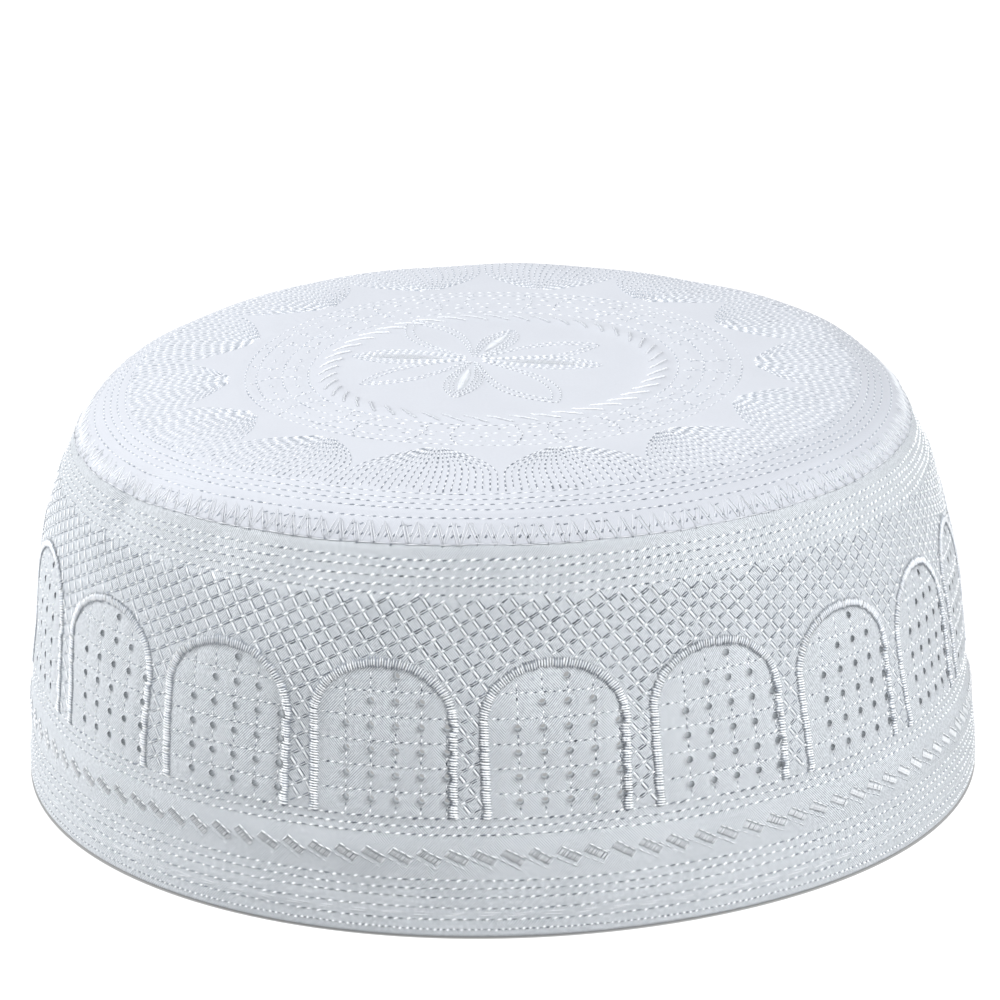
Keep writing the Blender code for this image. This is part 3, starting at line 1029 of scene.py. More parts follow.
def sew_lattice(thread, dark):
    """The slanted lattice over the arches and between them."""
    nodes, one, two = lattice_nodes()
    seam = Seam(on_band)
    jig = RNG.normal(0, 0.04, (len(nodes), 2))
    start, end = lattice_pairs(nodes - one * (0.16 + jig[:, :1]), nodes + one * (0.20 + jig[:, 1:]))
    seam.add(start, end, 0.40 * MM, 0.32 * MM, 1.0)
    start, end = lattice_pairs(nodes + one * 0.16, nodes + one * (0.86 + jig[:, 1:]))
    seam.add(start, end, 0.16 * MM, 0.12 * MM, 0.72, 0.05 * MM)
    start, end = lattice_pairs(nodes + two * (0.04 + jig[:, :1]), nodes + two * (0.94 + jig[:, 1:]))
    seam.add(start, end, 0.52 * MM, 0.20 * MM, 0.80)
    sew("thread_lattice", seam, thread, LONG_RINGS)
    # Painted shade beside the lattice's stitches.
    marks = []
    for start, end, width in (
        (one * 0.18 + two * 0.07, one * 0.84 + two * 0.07, 0.34),
        (one * 0.20 - two * 0.07, one * 0.86 - two * 0.07, 0.34),
        (two * 0.05 + one * 0.13, two * 0.97 + one * 0.13, 0.24),
        (two * 0.08 - one * 0.12, two * 0.86 - one * 0.12, 0.17),
    ):
        start, end = lattice_pairs(nodes + start, nodes + end)
        marks.append(np.concatenate((start, end, np.full((len(start), 1), width * MM)), 1))
    mark("painted_shade_lattice", marks, on_band, dark)


def arch_line(inset, step):
    """Places a step apart on an arch's border moved in by inset, with their outward directions."""
    head = ARCH_RISE - ARCH_SPRING
    legs = np.linspace(0, ARCH_SPRING, 60, endpoint=False)
    turn = np.linspace(math.pi, 0, 240)
    x = np.concatenate((np.full(60, -ARCH_HALF_WIDTH), ARCH_HALF_WIDTH * np.cos(turn), np.full(60, ARCH_HALF_WIDTH)))
    y = np.concatenate((legs, ARCH_SPRING + head * np.sin(turn), legs[::-1]))
    line = np.stack((x, y), -1)
    ahead = np.gradient(line, axis=0)
    ahead /= np.linalg.norm(ahead, axis=1, keepdims=True)
    out = np.stack((-ahead[:, 1], ahead[:, 0]), -1)
    line = line - out * inset
    run = np.concatenate(([0.0], np.cumsum(np.linalg.norm(np.diff(line, axis=0), axis=1))))
    at = np.arange(step / 2, run[-1], step)
    place = np.stack((np.interp(at, run, line[:, 0]), np.interp(at, run, line[:, 1])), -1)
    normal = np.stack((np.interp(at, run, out[:, 0]), np.interp(at, run, out[:, 1])), -1)
    return place, normal / np.linalg.norm(normal, axis=1, keepdims=True)


def in_every_arch(start, end):
    """The same stitches in every arch, from places aside of its middle and above its foot."""
    starts = []
    ends = []
    for arch in range(ARCH_COUNT):
        centre = ARCH_TURN + ARCH_PITCH * arch
        for ends_list, places in ((starts, start), (ends, end)):
            along = ARCH_FOOT + places[:, 1]
            ends_list.append(pairs(centre + places[:, 0] / radius_at(along), along))
    return np.concatenate(starts), np.concatenate(ends)


def over_satin(even, along, lift):
    """Points on the raised middle of the arches' satin borders."""
    aside, rise = arch_place(even, along)
    depth = arch_depth(aside, rise)
    bow = 0.26 * MM * np.clip(1 - (depth / (SATIN_WIDTH / 2)) ** 2, 0, 1)
    return on_band(even, along, lift + bow)


def eyelet_gap(places):
    """How far places of an arch are from the middle of the nearest eyelet."""
    return np.min(np.linalg.norm(places[:, None] - EYELETS[None], axis=2), axis=1)


def sew_arches(thread, dark):
    """The arches' satin borders, the line inside them and the grid round the eyelets."""
    seam = Seam(on_band)
    place, out = arch_line(0.0, SATIN_PITCH)
    ahead = np.stack((out[:, 1], -out[:, 0]), -1)
    uneven = RNG.normal(0, 0.11, (len(place), 2)) * MM
    inward = SATIN_WIDTH / 2 + uneven[:, :1]
    for share in (0.8, 0.6, 0.4, 0.2, 0.0):
        near = eyelet_gap(place - out * inward)[:, None] < EYELET_RADIUS + 0.15 * MM
        inward = np.where(near, SATIN_WIDTH / 2 * share, inward)
    start = place - out * inward - ahead * 0.10 * MM
    end = place + out * (SATIN_WIDTH / 2 + uneven[:, 1:]) + ahead * 0.10 * MM
    strands = in_every_arch(start, end)
    # Painted shade: the satin is darker where the border runs across the top of the arch.
    satin_painted_top_shade = np.tile(0.97 - 0.24 * np.abs(out[:, 1]) + RNG.normal(0, 0.05, len(out)), ARCH_COUNT)
    seam.add(*strands, 0.42 * MM, 0.22 * MM, satin_painted_top_shade, 0.0, 0.24 * MM)
    sew("thread_arch_satin", seam, thread, LONG_RINGS)
    # Painted shade on the half of each satin border turned away from the light: the right half where light comes from
    # the left, the left half elsewhere; some are left out at random.
    centre = (start + end) / 2 + ahead * SATIN_PITCH / 2
    reach = SATIN_WIDTH / 2 + 0.14 * MM
    marks = []
    for shaded in (-1.0, 1.0):
        facing = out[:, :1] * shaded
        low = centre - out * reach * (1 - np.maximum(facing, 0) * 0.9)
        high = centre + out * reach * (1 + np.minimum(facing, 0) * 0.9)
        one, two = in_every_arch(low, high)
        lit_from_left = turned(spread(one[:, 0]), -90.0) < math.radians(-24)
        keep = lit_from_left if shaded > 0 else ~lit_from_left
        keep &= RNG.uniform(0, 1, len(keep)) < 0.85
        marks.append(np.concatenate((one[keep], two[keep], np.full((keep.sum(), 1), 0.26 * MM)), 1))
    mark("painted_shade_satin_sides", marks, over_satin, dark, 0.55)
    marks = []
    seam = Seam(on_band)
    stitches = []
    shade_places = []
    for row in range(1, 6):
        x = np.arange(-ARCH_HALF_WIDTH, ARCH_HALF_WIDTH, GRID_PITCH)
        places = pairs(x, row * GRID_UP)
        stitches.append((places, np.array([[0.44 * MM, 0.20 * MM]])))
        shade_places.append((places + np.array([[GRID_PITCH / 2, 0.0]]), np.array([[0.32 * MM, 0.16 * MM]])))
    for column in range(EYELET_COLUMNS):
        line = EYELET_SHIFT + (column - EYELET_COLUMNS // 2) * EYELET_PITCH_ROUND
        places = pairs(line, np.arange(0.9 * MM, ARCH_RISE, GRID_PITCH))
        stitches.append((places, np.array([[0.06 * MM, 0.42 * MM]])))
        shade_places.append((places + np.array([[0.0, GRID_PITCH / 2]]), np.array([[0.0, 0.30 * MM]])))
    # Painted shade between the grid's stitches round the eyelets.
    for group, target in ((stitches, "thread"), (shade_places, "mark")):
        for places, half in group:
            depth = arch_depth(places[:, 0], places[:, 1])
            places = places[(depth > 1.2 * MM) & (eyelet_gap(places) > 1.05 * MM)]
            start, end = in_every_arch(places - half, places + half)
            if target == "thread":
                seam.add(start, end, 0.36 * MM, 0.26 * MM, 1.0)
            else:
                marks.append(np.concatenate((start, end, np.full((len(start), 1), 0.44 * MM)), 1))
    sew("thread_arch_grid", seam, thread)
    mark("painted_shade_arch_grid", marks, on_band, dark)


def sew_zigzag(thread, dark):
    """The zigzag over the crown's edge, the short one inside it and the line along the edge."""
    seam = Seam(on_crown)
    step = TURN / ZIGZAG_COUNT
    at = np.arange(ZIGZAG_COUNT)
    jig = RNG.normal(0, 0.10, (ZIGZAG_COUNT, 4))
    for run, shift, tall in ((0, 0.0, 0.0), (1, 0.24, -0.7)):
        low = pairs((at + shift + jig[:, run] * 0.5) * step, (ZIGZAG_FOOT + jig[:, 2] * 2) * MM)
        high = pairs((at + shift + 0.5 + jig[:, run + 1] * 0.5) * step, (ZIGZAG_TOP + tall + jig[:, 3] * 2) * MM)
        following = np.roll(low, -1, 0).copy()
        following[-1, 0] += TURN
        seam.add(low, high, 0.19 * MM, 0.13 * MM, 0.95, 0.05 * MM)
        seam.add(high, following, 0.19 * MM, 0.13 * MM, 0.95, 0.08 * MM)
    step = TURN / SHORT_ZIGZAG_COUNT
    at = np.arange(SHORT_ZIGZAG_COUNT)
    low = pairs(at * step, SHORT_ZIGZAG[0] * MM + RNG.normal(0, 0.1 * MM, SHORT_ZIGZAG_COUNT))
    high = pairs((at + 0.5) * step, SHORT_ZIGZAG[1] * MM + RNG.normal(0, 0.1 * MM, SHORT_ZIGZAG_COUNT))
    following = np.roll(low, -1, 0).copy()
    following[-1, 0] += TURN
    seam.add(low, high, 0.22 * MM, 0.12 * MM, 0.9)
    seam.add(high, following, 0.20 * MM, 0.10 * MM, 0.8)
    count = 170
    at = np.arange(count) * TURN / count
    line = LAP_LINE * MM + 0.12 * MM * np.sin(at * 23)
    following = np.roll(line, -1)
    seam.add(pairs(at, line), pairs(at + TURN / count * 0.98, following), 0.24 * MM, 0.16 * MM, 0.95)
    sew("thread_zigzag", seam, thread)
    # Painted shade beside the short zigzag and along the zigzag's foot.
    marks = []
    at = np.arange(SHORT_ZIGZAG_COUNT) * step
    foot, top = SHORT_ZIGZAG
    for along, rise, shift, share, width in (
        (foot + 0.55, 0.42, 0.52, 0.24, 0.42),
        (top + 1.15, 0.10, 0.20, 0.34, 0.36),
    ):
        place = at + shift * step
        low = (along - rise) * MM + RNG.normal(0, 0.10 * MM, len(at))
        high = (along + rise) * MM + RNG.normal(0, 0.10 * MM, len(at))
        row = np.stack((place - share * step, low, place + share * step, high), -1)
        if shift < 0.5:
            row = row[RNG.uniform(0, 1, len(row)) < 0.42]
        marks.append(np.concatenate((row, np.full((len(row), 1), width * MM)), 1))
    at = (np.arange(ZIGZAG_COUNT) + 0.05) * TURN / ZIGZAG_COUNT
    low = (ZIGZAG_FOOT + 0.1) * MM + RNG.normal(0, 0.12 * MM, ZIGZAG_COUNT)
    row = np.stack((at - 0.0022, low, at + 0.0022, low + 0.1 * MM), -1)
    marks.append(np.concatenate((row, np.full((ZIGZAG_COUNT, 1), 0.42 * MM)), 1))
    mark("painted_shade_zigzag", marks, on_crown, dark, 0.40)


def fan_share(radius):
    """How much of its full breadth a fan has at a radius, in mm."""
    t = np.clip((radius - FAN_TIP) / (FAN_FULL - FAN_TIP), 0.0, 1.0)
    return np.sin(math.pi / 2 * t**0.8)


def plan_line(x, y, pitch, share):
    """Stitches a pitch apart on a line through places in mm, and the places of the painted shade between them."""
    run = np.concatenate(([0.0], np.cumsum(np.hypot(np.diff(x), np.diff(y)))))
    middle = np.arange(pitch * RNG.uniform(0.3, 0.7), run[-1], pitch)
    middle = middle + RNG.normal(0, 0.05 * pitch, len(middle))

    def at(where):
        where = np.clip(where, 0, run[-1])
        return pairs(np.interp(where, run, x), np.interp(where, run, y))

    half = share * pitch / 2
    gap = middle + pitch / 2
    gap = gap[gap < run[-1]]
    reach = (1 - share) * pitch * 0.58
    return at(middle - half), at(middle + half), at(gap - reach), at(gap + reach)


def sew_fans(thread, dark):
    """The crown's fans: curved lines spreading from the rings to the rows at its edge."""
    seam = Seam(on_plan)
    marks = []
    half_pitch = math.pi / FAN_COUNT
    for fan in range(FAN_COUNT):
        middle = FAN_TURN + TURN * fan / FAN_COUNT
        for line in range(FAN_LINES):
            side = (line + 0.5) / FAN_LINES * 2 - 1
            start = FAN_TIP + 0.5 + 1.6 * (line % 2)
            radius = np.linspace(start, 71.9, 40)
            angle = middle + side * half_pitch * fan_share(radius)
            x = FAN_CENTRE[0] + radius * np.cos(angle)
            y = FAN_CENTRE[1] * (1 - step_up(radius, 58, 71)) + radius * np.sin(angle)
            one, two, low, high = plan_line(x, y, FAN_PITCH, 0.50)
            strong = 1.0 - 0.36 * (line % 2)
            seam.add(one, two, 0.28 * MM, 0.17 * MM)
            marks.append(np.concatenate((low, high, np.full((len(low), 1), 0.46 * MM * strong)), 1))
    sew("thread_fans", seam, thread)
    # Painted shade in the gaps along the fans' lines.
    mark("painted_shade_fans", marks, on_plan, dark, 0.40)


def circle(centre, radius, points=400):
    """Places round a circle in mm."""
    t = np.linspace(0, TURN, points)
    return centre[0] + radius * np.cos(t), centre[1] + radius * np.sin(t)


def sew_rings(thread, dark):
    """The crown's rings, the dots and spokes between them, and the rope of satin segments."""
    seam = Seam(on_plan)
    marks = []
    for _, radius, down, pitch in RINGS:
        one, two, low, high = plan_line(*circle((0.3, down), radius), pitch, 0.55)
        seam.add(one, two, 0.34 * MM, 0.20 * MM)
        marks.append(np.concatenate((low, high, np.full((len(low), 1), 0.46 * MM)), 1))
    for _, radius, down, pitch in DOT_RINGS:
        one, two, low, high = plan_line(*circle((0.3, down), radius), pitch, 0.24)
        seam.add(one, two, 0.46 * MM, 0.28 * MM)
        width = np.full((len(one), 1), 0.5 * MM)
        marks.append(np.concatenate((one - (two - one) * 0.6, one, width), 1))
    for spoke in range(SPOKES):
        angle = FAN_TURN + TURN * (spoke + 0.25) / SPOKES
        radius = np.linspace(RINGS[3][1] + 0.6, RINGS[0][1] - 0.6, 20)
        bend = 0.05 * np.sin((radius - 36) / 12 * math.pi) * (1 if spoke % 2 else -1)
        x = 0.3 + radius * np.cos(angle + bend)
        y = -2.3 + radius * np.sin(angle + bend)
        one, two, low, high = plan_line(x, y, 1.7, 0.55)
        seam.add(one, two, 0.30 * MM, 0.20 * MM, 0.97)
        marks.append(np.concatenate((low, high, np.full((len(low), 1), 0.26 * MM)), 1))
    step = TURN / ROPE_COUNT
    for segment in range(ROPE_COUNT):
        middle = segment * step
        for strand in range(9):
            t = strand / 8
            angle = middle + (t - 0.5) * step * 0.98
            radius = ROPE_RADII[0] + (ROPE_RADII[1] - ROPE_RADII[0]) * t
            x = ROPE_CENTRE[0] + radius * math.cos(angle)
            y = ROPE_CENTRE[1] + radius * math.sin(angle)
            lean = angle + math.radians(52)
            reach = 1.05 * (0.45 + 0.55 * math.sin(math.pi * (0.08 + 0.84 * t)))
            dx = reach * math.cos(lean)
            dy = reach * math.sin(lean)
            # Painted highlight: the rope's segments are lighter on the two sides of the crown that face the left and
            # right lights.
            shine = 0.84 + 0.24 * math.cos(2 * (angle - math.radians(145)))
            seam.add([(x - dx, y - dy)], [(x + dx, y + dy)], 0.44 * MM, 0.26 * MM, shine, 0.03 * MM)
    sew("thread_rings", seam, thread)
    # Painted shade in the gaps along the rings and spokes, and beside the dots.
    mark("painted_shade_rings", marks, on_plan, dark, 0.40)


def petal_point(angle, reach, aside):
    """A place in mm beside the line from the flower's middle along one petal."""
    x = FLOWER_CENTRE[0] + reach * np.cos(angle) - aside * np.sin(angle)
    y = FLOWER_CENTRE[1] + reach * np.sin(angle) + aside * np.cos(angle)
    return x, y


def petal_breadth(share):
    """A petal's breadth along its length, from the flower's middle to its tip."""
    return np.sin(math.pi * np.clip(share, 0, 1) ** 1.35) ** 0.8


def sew_flower(thread, dark):
    """The eight-petalled flower in the middle of the crown."""
    seam = Seam(on_plan)
    marks = []
    for kind, degrees, length, half in PETALS:
        angle = math.radians(degrees)
        share = np.linspace(0.06, 1.0, 60)
        outlines = ((1.0, 1.0), (0.70, 0.93)) if kind == "open" else ((1.0, 1.0), (0.74, 0.96), (0.50, 0.90))
        for narrow, short in outlines:
            for side in (-1, 1):
                reach = share * length * short
                x, y = petal_point(angle, reach, side * half * narrow * petal_breadth(share))
                one, two, low, high = plan_line(x, y, 1.45, 0.56)
                seam.add(one, two, 0.34 * MM, 0.26 * MM)
                marks.append(np.concatenate((low, high, np.full((len(low), 1), 0.30 * MM)), 1))
        if kind == "satin":
            strands = np.arange(0.26 * length, 0.84 * length, 0.42)
            within = (strands / length - 0.26) / 0.58
            breadth = 1.25 * np.sin(math.pi * np.clip(within, 0.02, 0.98)) ** 0.7
            one = petal_point(angle, strands - 0.25, -breadth)
            two = petal_point(angle, strands + 0.25, breadth)
            seam.add(pairs(*one), pairs(*two), 0.34 * MM, 0.20 * MM, 0.74, 0.04 * MM)
    sew("thread_flower", seam, thread)
    # Painted shade in the gaps along the petals' outlines.
    mark("painted_shade_flower", marks, on_plan, dark, 0.40)


def sew_hem(thread):
    """The hem's stitches as they come through inside the cap."""
    def inside(even, along, lift):
        return surface(spread(even), along, -(BAND_WALL + CLEARANCE + HEM_WALL) - lift)

    seam = Seam(inside)
    start, end, _ = running_row(4.6 * MM, 2.1, 0.6, 4.0, radius_at(4.6 * MM))
    seam.add(start, end, 0.36 * MM, 0.24 * MM)
    sew("thread_hem_inside", seam, thread)


def nodes_of(name):
    """A new material's node tree, its shader and a helper that adds and links nodes."""
    made = bpy.data.materials.new(name)
    made.use_nodes = True
    tree = made.node_tree
    shader = tree.nodes["Principled BSDF"]

    def add(kind, settings=None, **links):
        node = tree.nodes.new(kind)
        for key, value in (settings or {}).items():
            setattr(node, key, value)
        for key, value in links.items():
            socket = node.inputs[int(key[1:])]
            if isinstance(value, (int, float, tuple)):
                socket.default_value = value
            else:
                tree.links.new(value, socket)
        return node

    return made, tree, shader, add


def maths(add, operation, *values):
    """A maths node's result."""
    links = {"i%d" % i: value for i, value in enumerate(values)}
    return add("ShaderNodeMath", {"operation": operation}, **links).outputs[0]


TWILL_PERIOD = 0.50 * MM


def cloth_material(name, light, shade, pillows, ribs, glow=0.0):
    """Fine twill, with small pillows between the lattice's lines where the quilt mask is set."""
    made, tree, shader, add = nodes_of(name)
    shader.inputs["Roughness"].default_value = 0.88
    shader.inputs["Specular IOR Level"].default_value = 0.25
    shader.inputs["Sheen Weight"].default_value = 0.12
    shader.inputs["Sheen Roughness"].default_value = 0.5
    # Glow is painted light: cloth with a faint light of its own.
    shader.inputs["Emission Color"].default_value = (0.93, 0.97, 1.0, 1.0)
    shader.inputs["Emission Strength"].default_value = glow
    uv = add("ShaderNodeUVMap", {"uv_map": "UVMap"}).outputs[0]
    parts = add("ShaderNodeSeparateXYZ", None, i0=uv)
    u, v = parts.outputs[0], parts.outputs[1]
    grain = add(
        "ShaderNodeTexNoise", {"noise_dimensions": "3D"}, i0=uv, i2=1500.0, i3=3.0, i4=0.6
    ).outputs[0]
    patch = add("ShaderNodeTexNoise", {"noise_dimensions": "3D"}, i0=uv, i2=90.0, i3=2.0, i4=0.5).outputs[0]
    side = maths(add, "GREATER_THAN", patch, 0.52)
    lean = maths(add, "MULTIPLY_ADD", side, 1.7, -0.85)
    slant = maths(add, "MULTIPLY_ADD", v, lean, u)
    rib = maths(add, "SINE", maths(add, "MULTIPLY", slant, TURN / TWILL_PERIOD))
    weave = maths(add, "MULTIPLY_ADD", rib, 0.40 * ribs, maths(add, "MULTIPLY_ADD", grain, 1.5 * ribs, -0.75 * ribs))
    blend = maths(add, "MULTIPLY_ADD", weave, 1.0, maths(add, "MULTIPLY_ADD", patch, 0.4, 0.3))
    mix = add("ShaderNodeMix", {"data_type": "RGBA"}, i0=blend)
    mix.inputs[6].default_value = (*shade, 1.0)
    mix.inputs[7].default_value = (*light, 1.0)
    colour = mix.outputs[2]
    fine = add("ShaderNodeBump", None)
    fine.inputs["Strength"].default_value = 0.7
    fine.inputs["Distance"].default_value = 0.10 * MM
    tree.links.new(weave, fine.inputs["Height"])
    normal = fine.outputs[0]
    if pillows:
        up, down = LATTICE_CELLS
        around = TURN * LATTICE_RADIUS
        fall = LATTICE_RISE * up / down
        run = around / up - LATTICE_LEAN * down / up
        solve = np.linalg.inv(np.array([[run, -LATTICE_LEAN], [LATTICE_RISE, fall]]))
        scale = LATTICE_RADIUS / (90.8 * MM)
        x = maths(add, "MULTIPLY", maths(add, "SUBTRACT", u, LATTICE_NODE[0] * 90.8 * MM), scale)
        y = maths(add, "SUBTRACT", v, LATTICE_NODE[1])
        lines = []
        for row in solve:
            cell = maths(add, "ADD", maths(add, "MULTIPLY", x, row[0]), maths(add, "MULTIPLY", y, row[1]))
            lines.append(maths(add, "ABSOLUTE", maths(add, "SINE", maths(add, "MULTIPLY", cell, math.pi))))
        pillow = maths(add, "POWER", maths(add, "MULTIPLY", *lines), 0.45)
        mask = add("ShaderNodeAttribute", {"attribute_name": "quilt"}).outputs[2]
        coarse = add("ShaderNodeBump", None)
        coarse.inputs["Strength"].default_value = 0.45
        coarse.inputs["Distance"].default_value = 0.30 * MM
        tree.links.new(maths(add, "MULTIPLY", pillow, mask), coarse.inputs["Height"])
        tree.links.new(normal, coarse.inputs["Normal"])
        normal = coarse.outputs[0]
        # Painted light on the eyelet walls: a lighter grey colour and a glow of their own.
        hollow = add("ShaderNodeAttribute", {"attribute_name": "hollow"}).outputs[2]
        eyelet_wall_painted_light = add("ShaderNodeMix", {"data_type": "RGBA"}, i0=hollow)
        tree.links.new(colour, eyelet_wall_painted_light.inputs[6])
        eyelet_wall_painted_light.inputs[7].default_value = (0.52, 0.54, 0.56, 1.0)
        colour = eyelet_wall_painted_light.outputs[2]
        tree.links.new(maths(add, "MULTIPLY", hollow, 0.34), shader.inputs["Emission Strength"])
    tree.links.new(colour, shader.inputs["Base Color"])
    tree.links.new(normal, shader.inputs["Normal"])
    return made


def thread_material(name, bright, shine):
    """Bright mercerised thread with a fine twist, with painted shade where it goes into the cloth."""
    made, tree, shader, add = nodes_of(name)
    shader.inputs["Roughness"].default_value = 0.36
    shader.inputs["Specular IOR Level"].default_value = shine
    shader.inputs["Sheen Weight"].default_value = 0.15
    shader.inputs["Sheen Roughness"].default_value = 0.4
    tint = add("ShaderNodeAttribute", {"attribute_name": "tint"}).outputs[2]
    mix = add("ShaderNodeMix", {"data_type": "RGBA"}, i0=tint)
    mix.inputs[6].default_value = (0.20, 0.23, 0.27, 1.0)
    mix.inputs[7].default_value = (*bright, 1.0)
    tree.links.new(mix.outputs[2], shader.inputs["Base Color"])
    uv = add("ShaderNodeUVMap", {"uv_map": "UVMap"}).outputs[0]
    parts = add("ShaderNodeSeparateXYZ", None, i0=uv)
    twist = maths(add, "ADD", maths(add, "MULTIPLY", parts.outputs[0], 2.2), parts.outputs[1])
    ply = maths(add, "SINE", maths(add, "MULTIPLY", twist, TURN))
    bump = add("ShaderNodeBump", None)
    bump.inputs["Strength"].default_value = 0.5
    bump.inputs["Distance"].default_value = 0.04 * MM
    tree.links.new(ply, bump.inputs["Height"])
    tree.links.new(bump.outputs[0], shader.inputs["Normal"])
    return made


def painted_shade_material():
    """Painted shade: a dark colour for the small pieces laid on the cloth where the needle draws the thread down."""
    made, tree, shader, add = nodes_of("painted_needle_shade")
    shader.inputs["Roughness"].default_value = 0.95
    shader.inputs["Specular IOR Level"].default_value = 0.1
    tint = add("ShaderNodeAttribute", {"attribute_name": "tint"}).outputs[2]
    mix = add("ShaderNodeMix", {"data_type": "RGBA"}, i0=tint)
    mix.inputs[6].default_value = (0.06, 0.07, 0.085, 1.0)
    mix.inputs[7].default_value = (0.42, 0.46, 0.52, 1.0)
    tree.links.new(mix.outputs[2], shader.inputs["Base Color"])
    return made


def floor_material(name, glow):
    """A white studio floor, as bright as the glow makes it."""
    made, tree, shader, add = nodes_of(name)
    shader.inputs["Base Color"].default_value = (0.22, 0.22, 0.22, 1.0)
    shader.inputs["Roughness"].default_value = 0.9
    shader.inputs["Specular IOR Level"].default_value = 0.2
    shader.inputs["Emission Color"].default_value = (1.0, 1.0, 1.0, 1.0)
    shader.inputs["Emission Strength"].default_value = glow
    return made


FLOOR_RADIUS = 6.0
# FLOOR_GLOW is the evenly bright floor; SHADED_GLOW is painted shade on the floor under the cap.
FLOOR_GLOW = 0.85
SHADED_GLOW = 0.30


def make_floor():
    """The floor, a wide sheet just under the rim, with a painted contact shadow in a thin ring under the rim's edge
    and painted shade under the cap.
    """
    count = 180
    turn = np.arange(count) * TURN / count
    # Painted contact shadow: a dark ring of floor just inside the rim's edge, reaching a little past it at the front.
    rim = surface(turn, np.zeros(count), (0.0 + 0.07 * np.cos(turn - math.radians(-105))) * MM)
    rings = [np.stack((FLOOR_RADIUS * np.cos(turn), FLOOR_RADIUS * np.sin(turn)), -1), rim[:, :2]]
    rings.append(rim[:, :2] * (1 - 4 * MM / RIM_RADIUS))
    corners = np.concatenate(rings)
    corners = np.concatenate((corners, np.zeros((len(corners), 1))), 1)
    faces = []
    for first in (0, count):
        faces += [(first + i, first + (i + 1) % count, first + count + (i + 1) % count, first + count + i) for i in range(count)]
    mesh = bpy.data.meshes.new("floor")
    mesh.from_pydata(corners.tolist(), [], faces + [tuple(range(2 * count, 3 * count))])
    mesh.materials.append(floor_material("white_floor", FLOOR_GLOW))
    mesh.materials.append(floor_material("painted_contact_shadow_at_rim", 0.20))
    mesh.materials.append(floor_material("painted_shade_floor_under_cap", SHADED_GLOW))
    for face in range(count):
        mesh.polygons[count + face].material_index = 1
    mesh.polygons[2 * count].material_index = 2
    floor = bpy.data.objects.new("floor", mesh)
    floor.location.z = -0.0001
    bpy.context.scene.collection.objects.link(floor)


def make_camera():
    """The camera at the photograph's distance, steepness and framing."""
    steep = CAMERA_STEEPNESS
    back = np.array([0.0, -math.cos(steep), math.sin(steep)])
    place = np.array([0.0, 0.0, CAMERA_AIM_HEIGHT]) + back * CAMERA_DISTANCE
    right = np.array([1.0, 0.0, 0.0])
    up = np.cross(right, -back)
    across = right * math.cos(CAMERA_ROLL) - up * math.sin(CAMERA_ROLL)
    tall = right * math.sin(CAMERA_ROLL) + up * math.cos(CAMERA_ROLL)
    aside = (AIM_PX[0] - IMAGE_PX / 2) / FOCAL_PX
    above = (IMAGE_PX / 2 - AIM_PX[1]) / FOCAL_PX
    ahead = -back - across * aside - tall * above
    ahead /= np.linalg.norm(ahead)
    across -= ahead * (across @ ahead)
    across /= np.linalg.norm(across)
    tall = np.cross(across, ahead)
    lens = bpy.data.cameras.new("camera")
    lens.sensor_fit = "HORIZONTAL"
    lens.sensor_width = SENSOR
    lens.lens = FOCAL_PX / IMAGE_PX * SENSOR
    lens.clip_start = 0.05
    lens.clip_end = 50.0
    camera = bpy.data.objects.new("camera", lens)
    turn = Matrix(((across[0], tall[0], -ahead[0]), (across[1], tall[1], -ahead[1]), (across[2], tall[2], -ahead[2])))
    camera.matrix_world = Matrix.Translation(place) @ turn.to_4x4()
    bpy.context.scene.collection.objects.link(camera)
    bpy.context.scene.camera = camera


# name, direction as angle and steepness in degrees, power in W, size in m, colour
LIGHTS = (
    ("top front", -95, 65, 7.0, 0.4, (1.0, 1.0, 1.0)),
    ("left", 167, 25, 28.0, 0.7, (1.0, 1.0, 1.0)),
    ("right", -38, 42, 22.5, 0.6, (1.0, 1.0, 1.0)),
)
LIGHT_DISTANCE = 1.6
WORLD_STRENGTH = 0.35


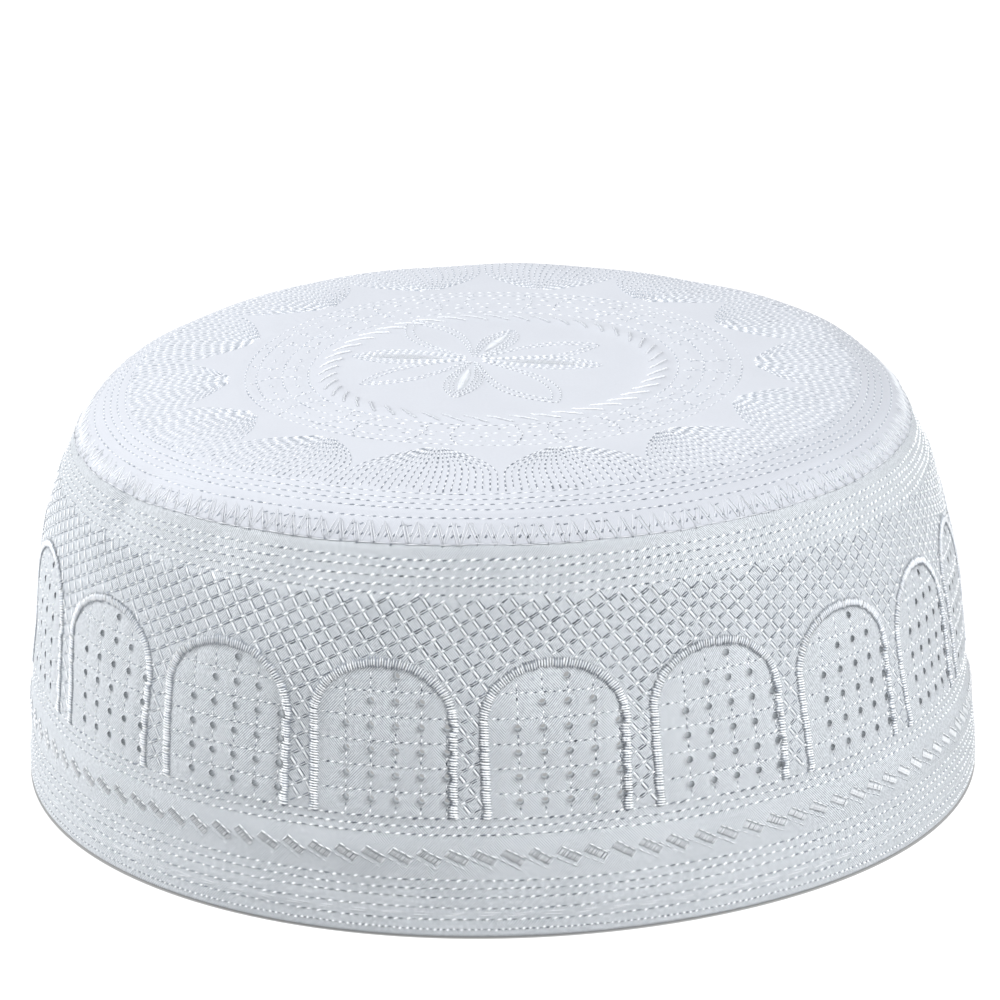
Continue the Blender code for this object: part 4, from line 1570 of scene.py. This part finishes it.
def make_lights():
    """Large soft lights from the left and above, and an even white surround."""
    for name, angle, steep, power, size, colour in LIGHTS:
        turn = math.radians(angle)
        rise = math.radians(steep)
        towards = np.array([math.cos(rise) * math.cos(turn), math.cos(rise) * math.sin(turn), math.sin(rise)])
        lamp = bpy.data.lights.new(name, "AREA")
        lamp.shape = "DISK"
        lamp.size = size
        lamp.energy = power
        lamp.color = colour
        light = bpy.data.objects.new(name, lamp)
        place = towards * LIGHT_DISTANCE + np.array([0, 0, 0.05])
        sideways = np.cross([0.0, 0.0, 1.0], towards)
        sideways /= np.linalg.norm(sideways)
        tall = np.cross(towards, sideways)
        turn_to = Matrix((sideways, tall, towards)).transposed()
        light.matrix_world = Matrix.Translation(place) @ turn_to.to_4x4()
        bpy.context.scene.collection.objects.link(light)
    world = bpy.data.worlds.new("surround")
    world.use_nodes = True
    surround = world.node_tree.nodes["Background"]
    surround.inputs["Color"].default_value = (0.965, 0.98, 1.0, 1.0)
    surround.inputs["Strength"].default_value = WORLD_STRENGTH
    bpy.context.scene.world = world
    bpy.context.scene.view_settings.view_transform = "Standard"


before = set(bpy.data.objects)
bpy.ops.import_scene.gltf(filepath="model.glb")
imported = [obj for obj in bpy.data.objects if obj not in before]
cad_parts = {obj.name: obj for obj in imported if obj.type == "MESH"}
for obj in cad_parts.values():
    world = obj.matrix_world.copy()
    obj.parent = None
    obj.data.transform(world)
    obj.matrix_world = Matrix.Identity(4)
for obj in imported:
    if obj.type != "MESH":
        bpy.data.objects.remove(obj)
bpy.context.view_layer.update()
band_cotton = cloth_material("band_twill", (0.64, 0.67, 0.70), (0.32, 0.345, 0.375), True, 1.5)
crown_cotton = cloth_material("crown_twill", (0.51, 0.53, 0.573), (0.43, 0.448, 0.49), False, 0.35)
# The cloth inside the cap glows a little: painted light.
inside_cotton = cloth_material("inside_twill", (0.56, 0.59, 0.62), (0.44, 0.465, 0.495), False, 0.6, 0.24)
hem_cotton = cloth_material("hem_twill", (0.545, 0.575, 0.605), (0.43, 0.455, 0.485), False, 0.6)
white_thread = thread_material("white_thread", (0.90, 0.92, 0.94), 0.9)
# A darker, less shiny copy of the white thread for the crown: painted shade against the stronger light on the crown.
crown_thread_painted_shade = thread_material("crown_thread_painted_shade", (0.78, 0.80, 0.835), 0.5)
# Painted shade for the small dark pieces between stitches.
painted_needle_shade = painted_shade_material()
make_band_cloth(band_cotton)
make_band_inside(inside_cotton)
make_crown_cloth(crown_cotton)
make_crown_inside(inside_cotton)
make_hem_cloth(hem_cotton)
sew_rows(white_thread, crown_thread_painted_shade, painted_needle_shade)
sew_bars(white_thread, painted_needle_shade)
sew_lattice(white_thread, painted_needle_shade)
sew_arches(white_thread, painted_needle_shade)
sew_zigzag(crown_thread_painted_shade, painted_needle_shade)
sew_fans(crown_thread_painted_shade, painted_needle_shade)
sew_rings(crown_thread_painted_shade, painted_needle_shade)
sew_flower(crown_thread_painted_shade, painted_needle_shade)
sew_hem(white_thread)
make_floor()
make_lights()
make_camera()
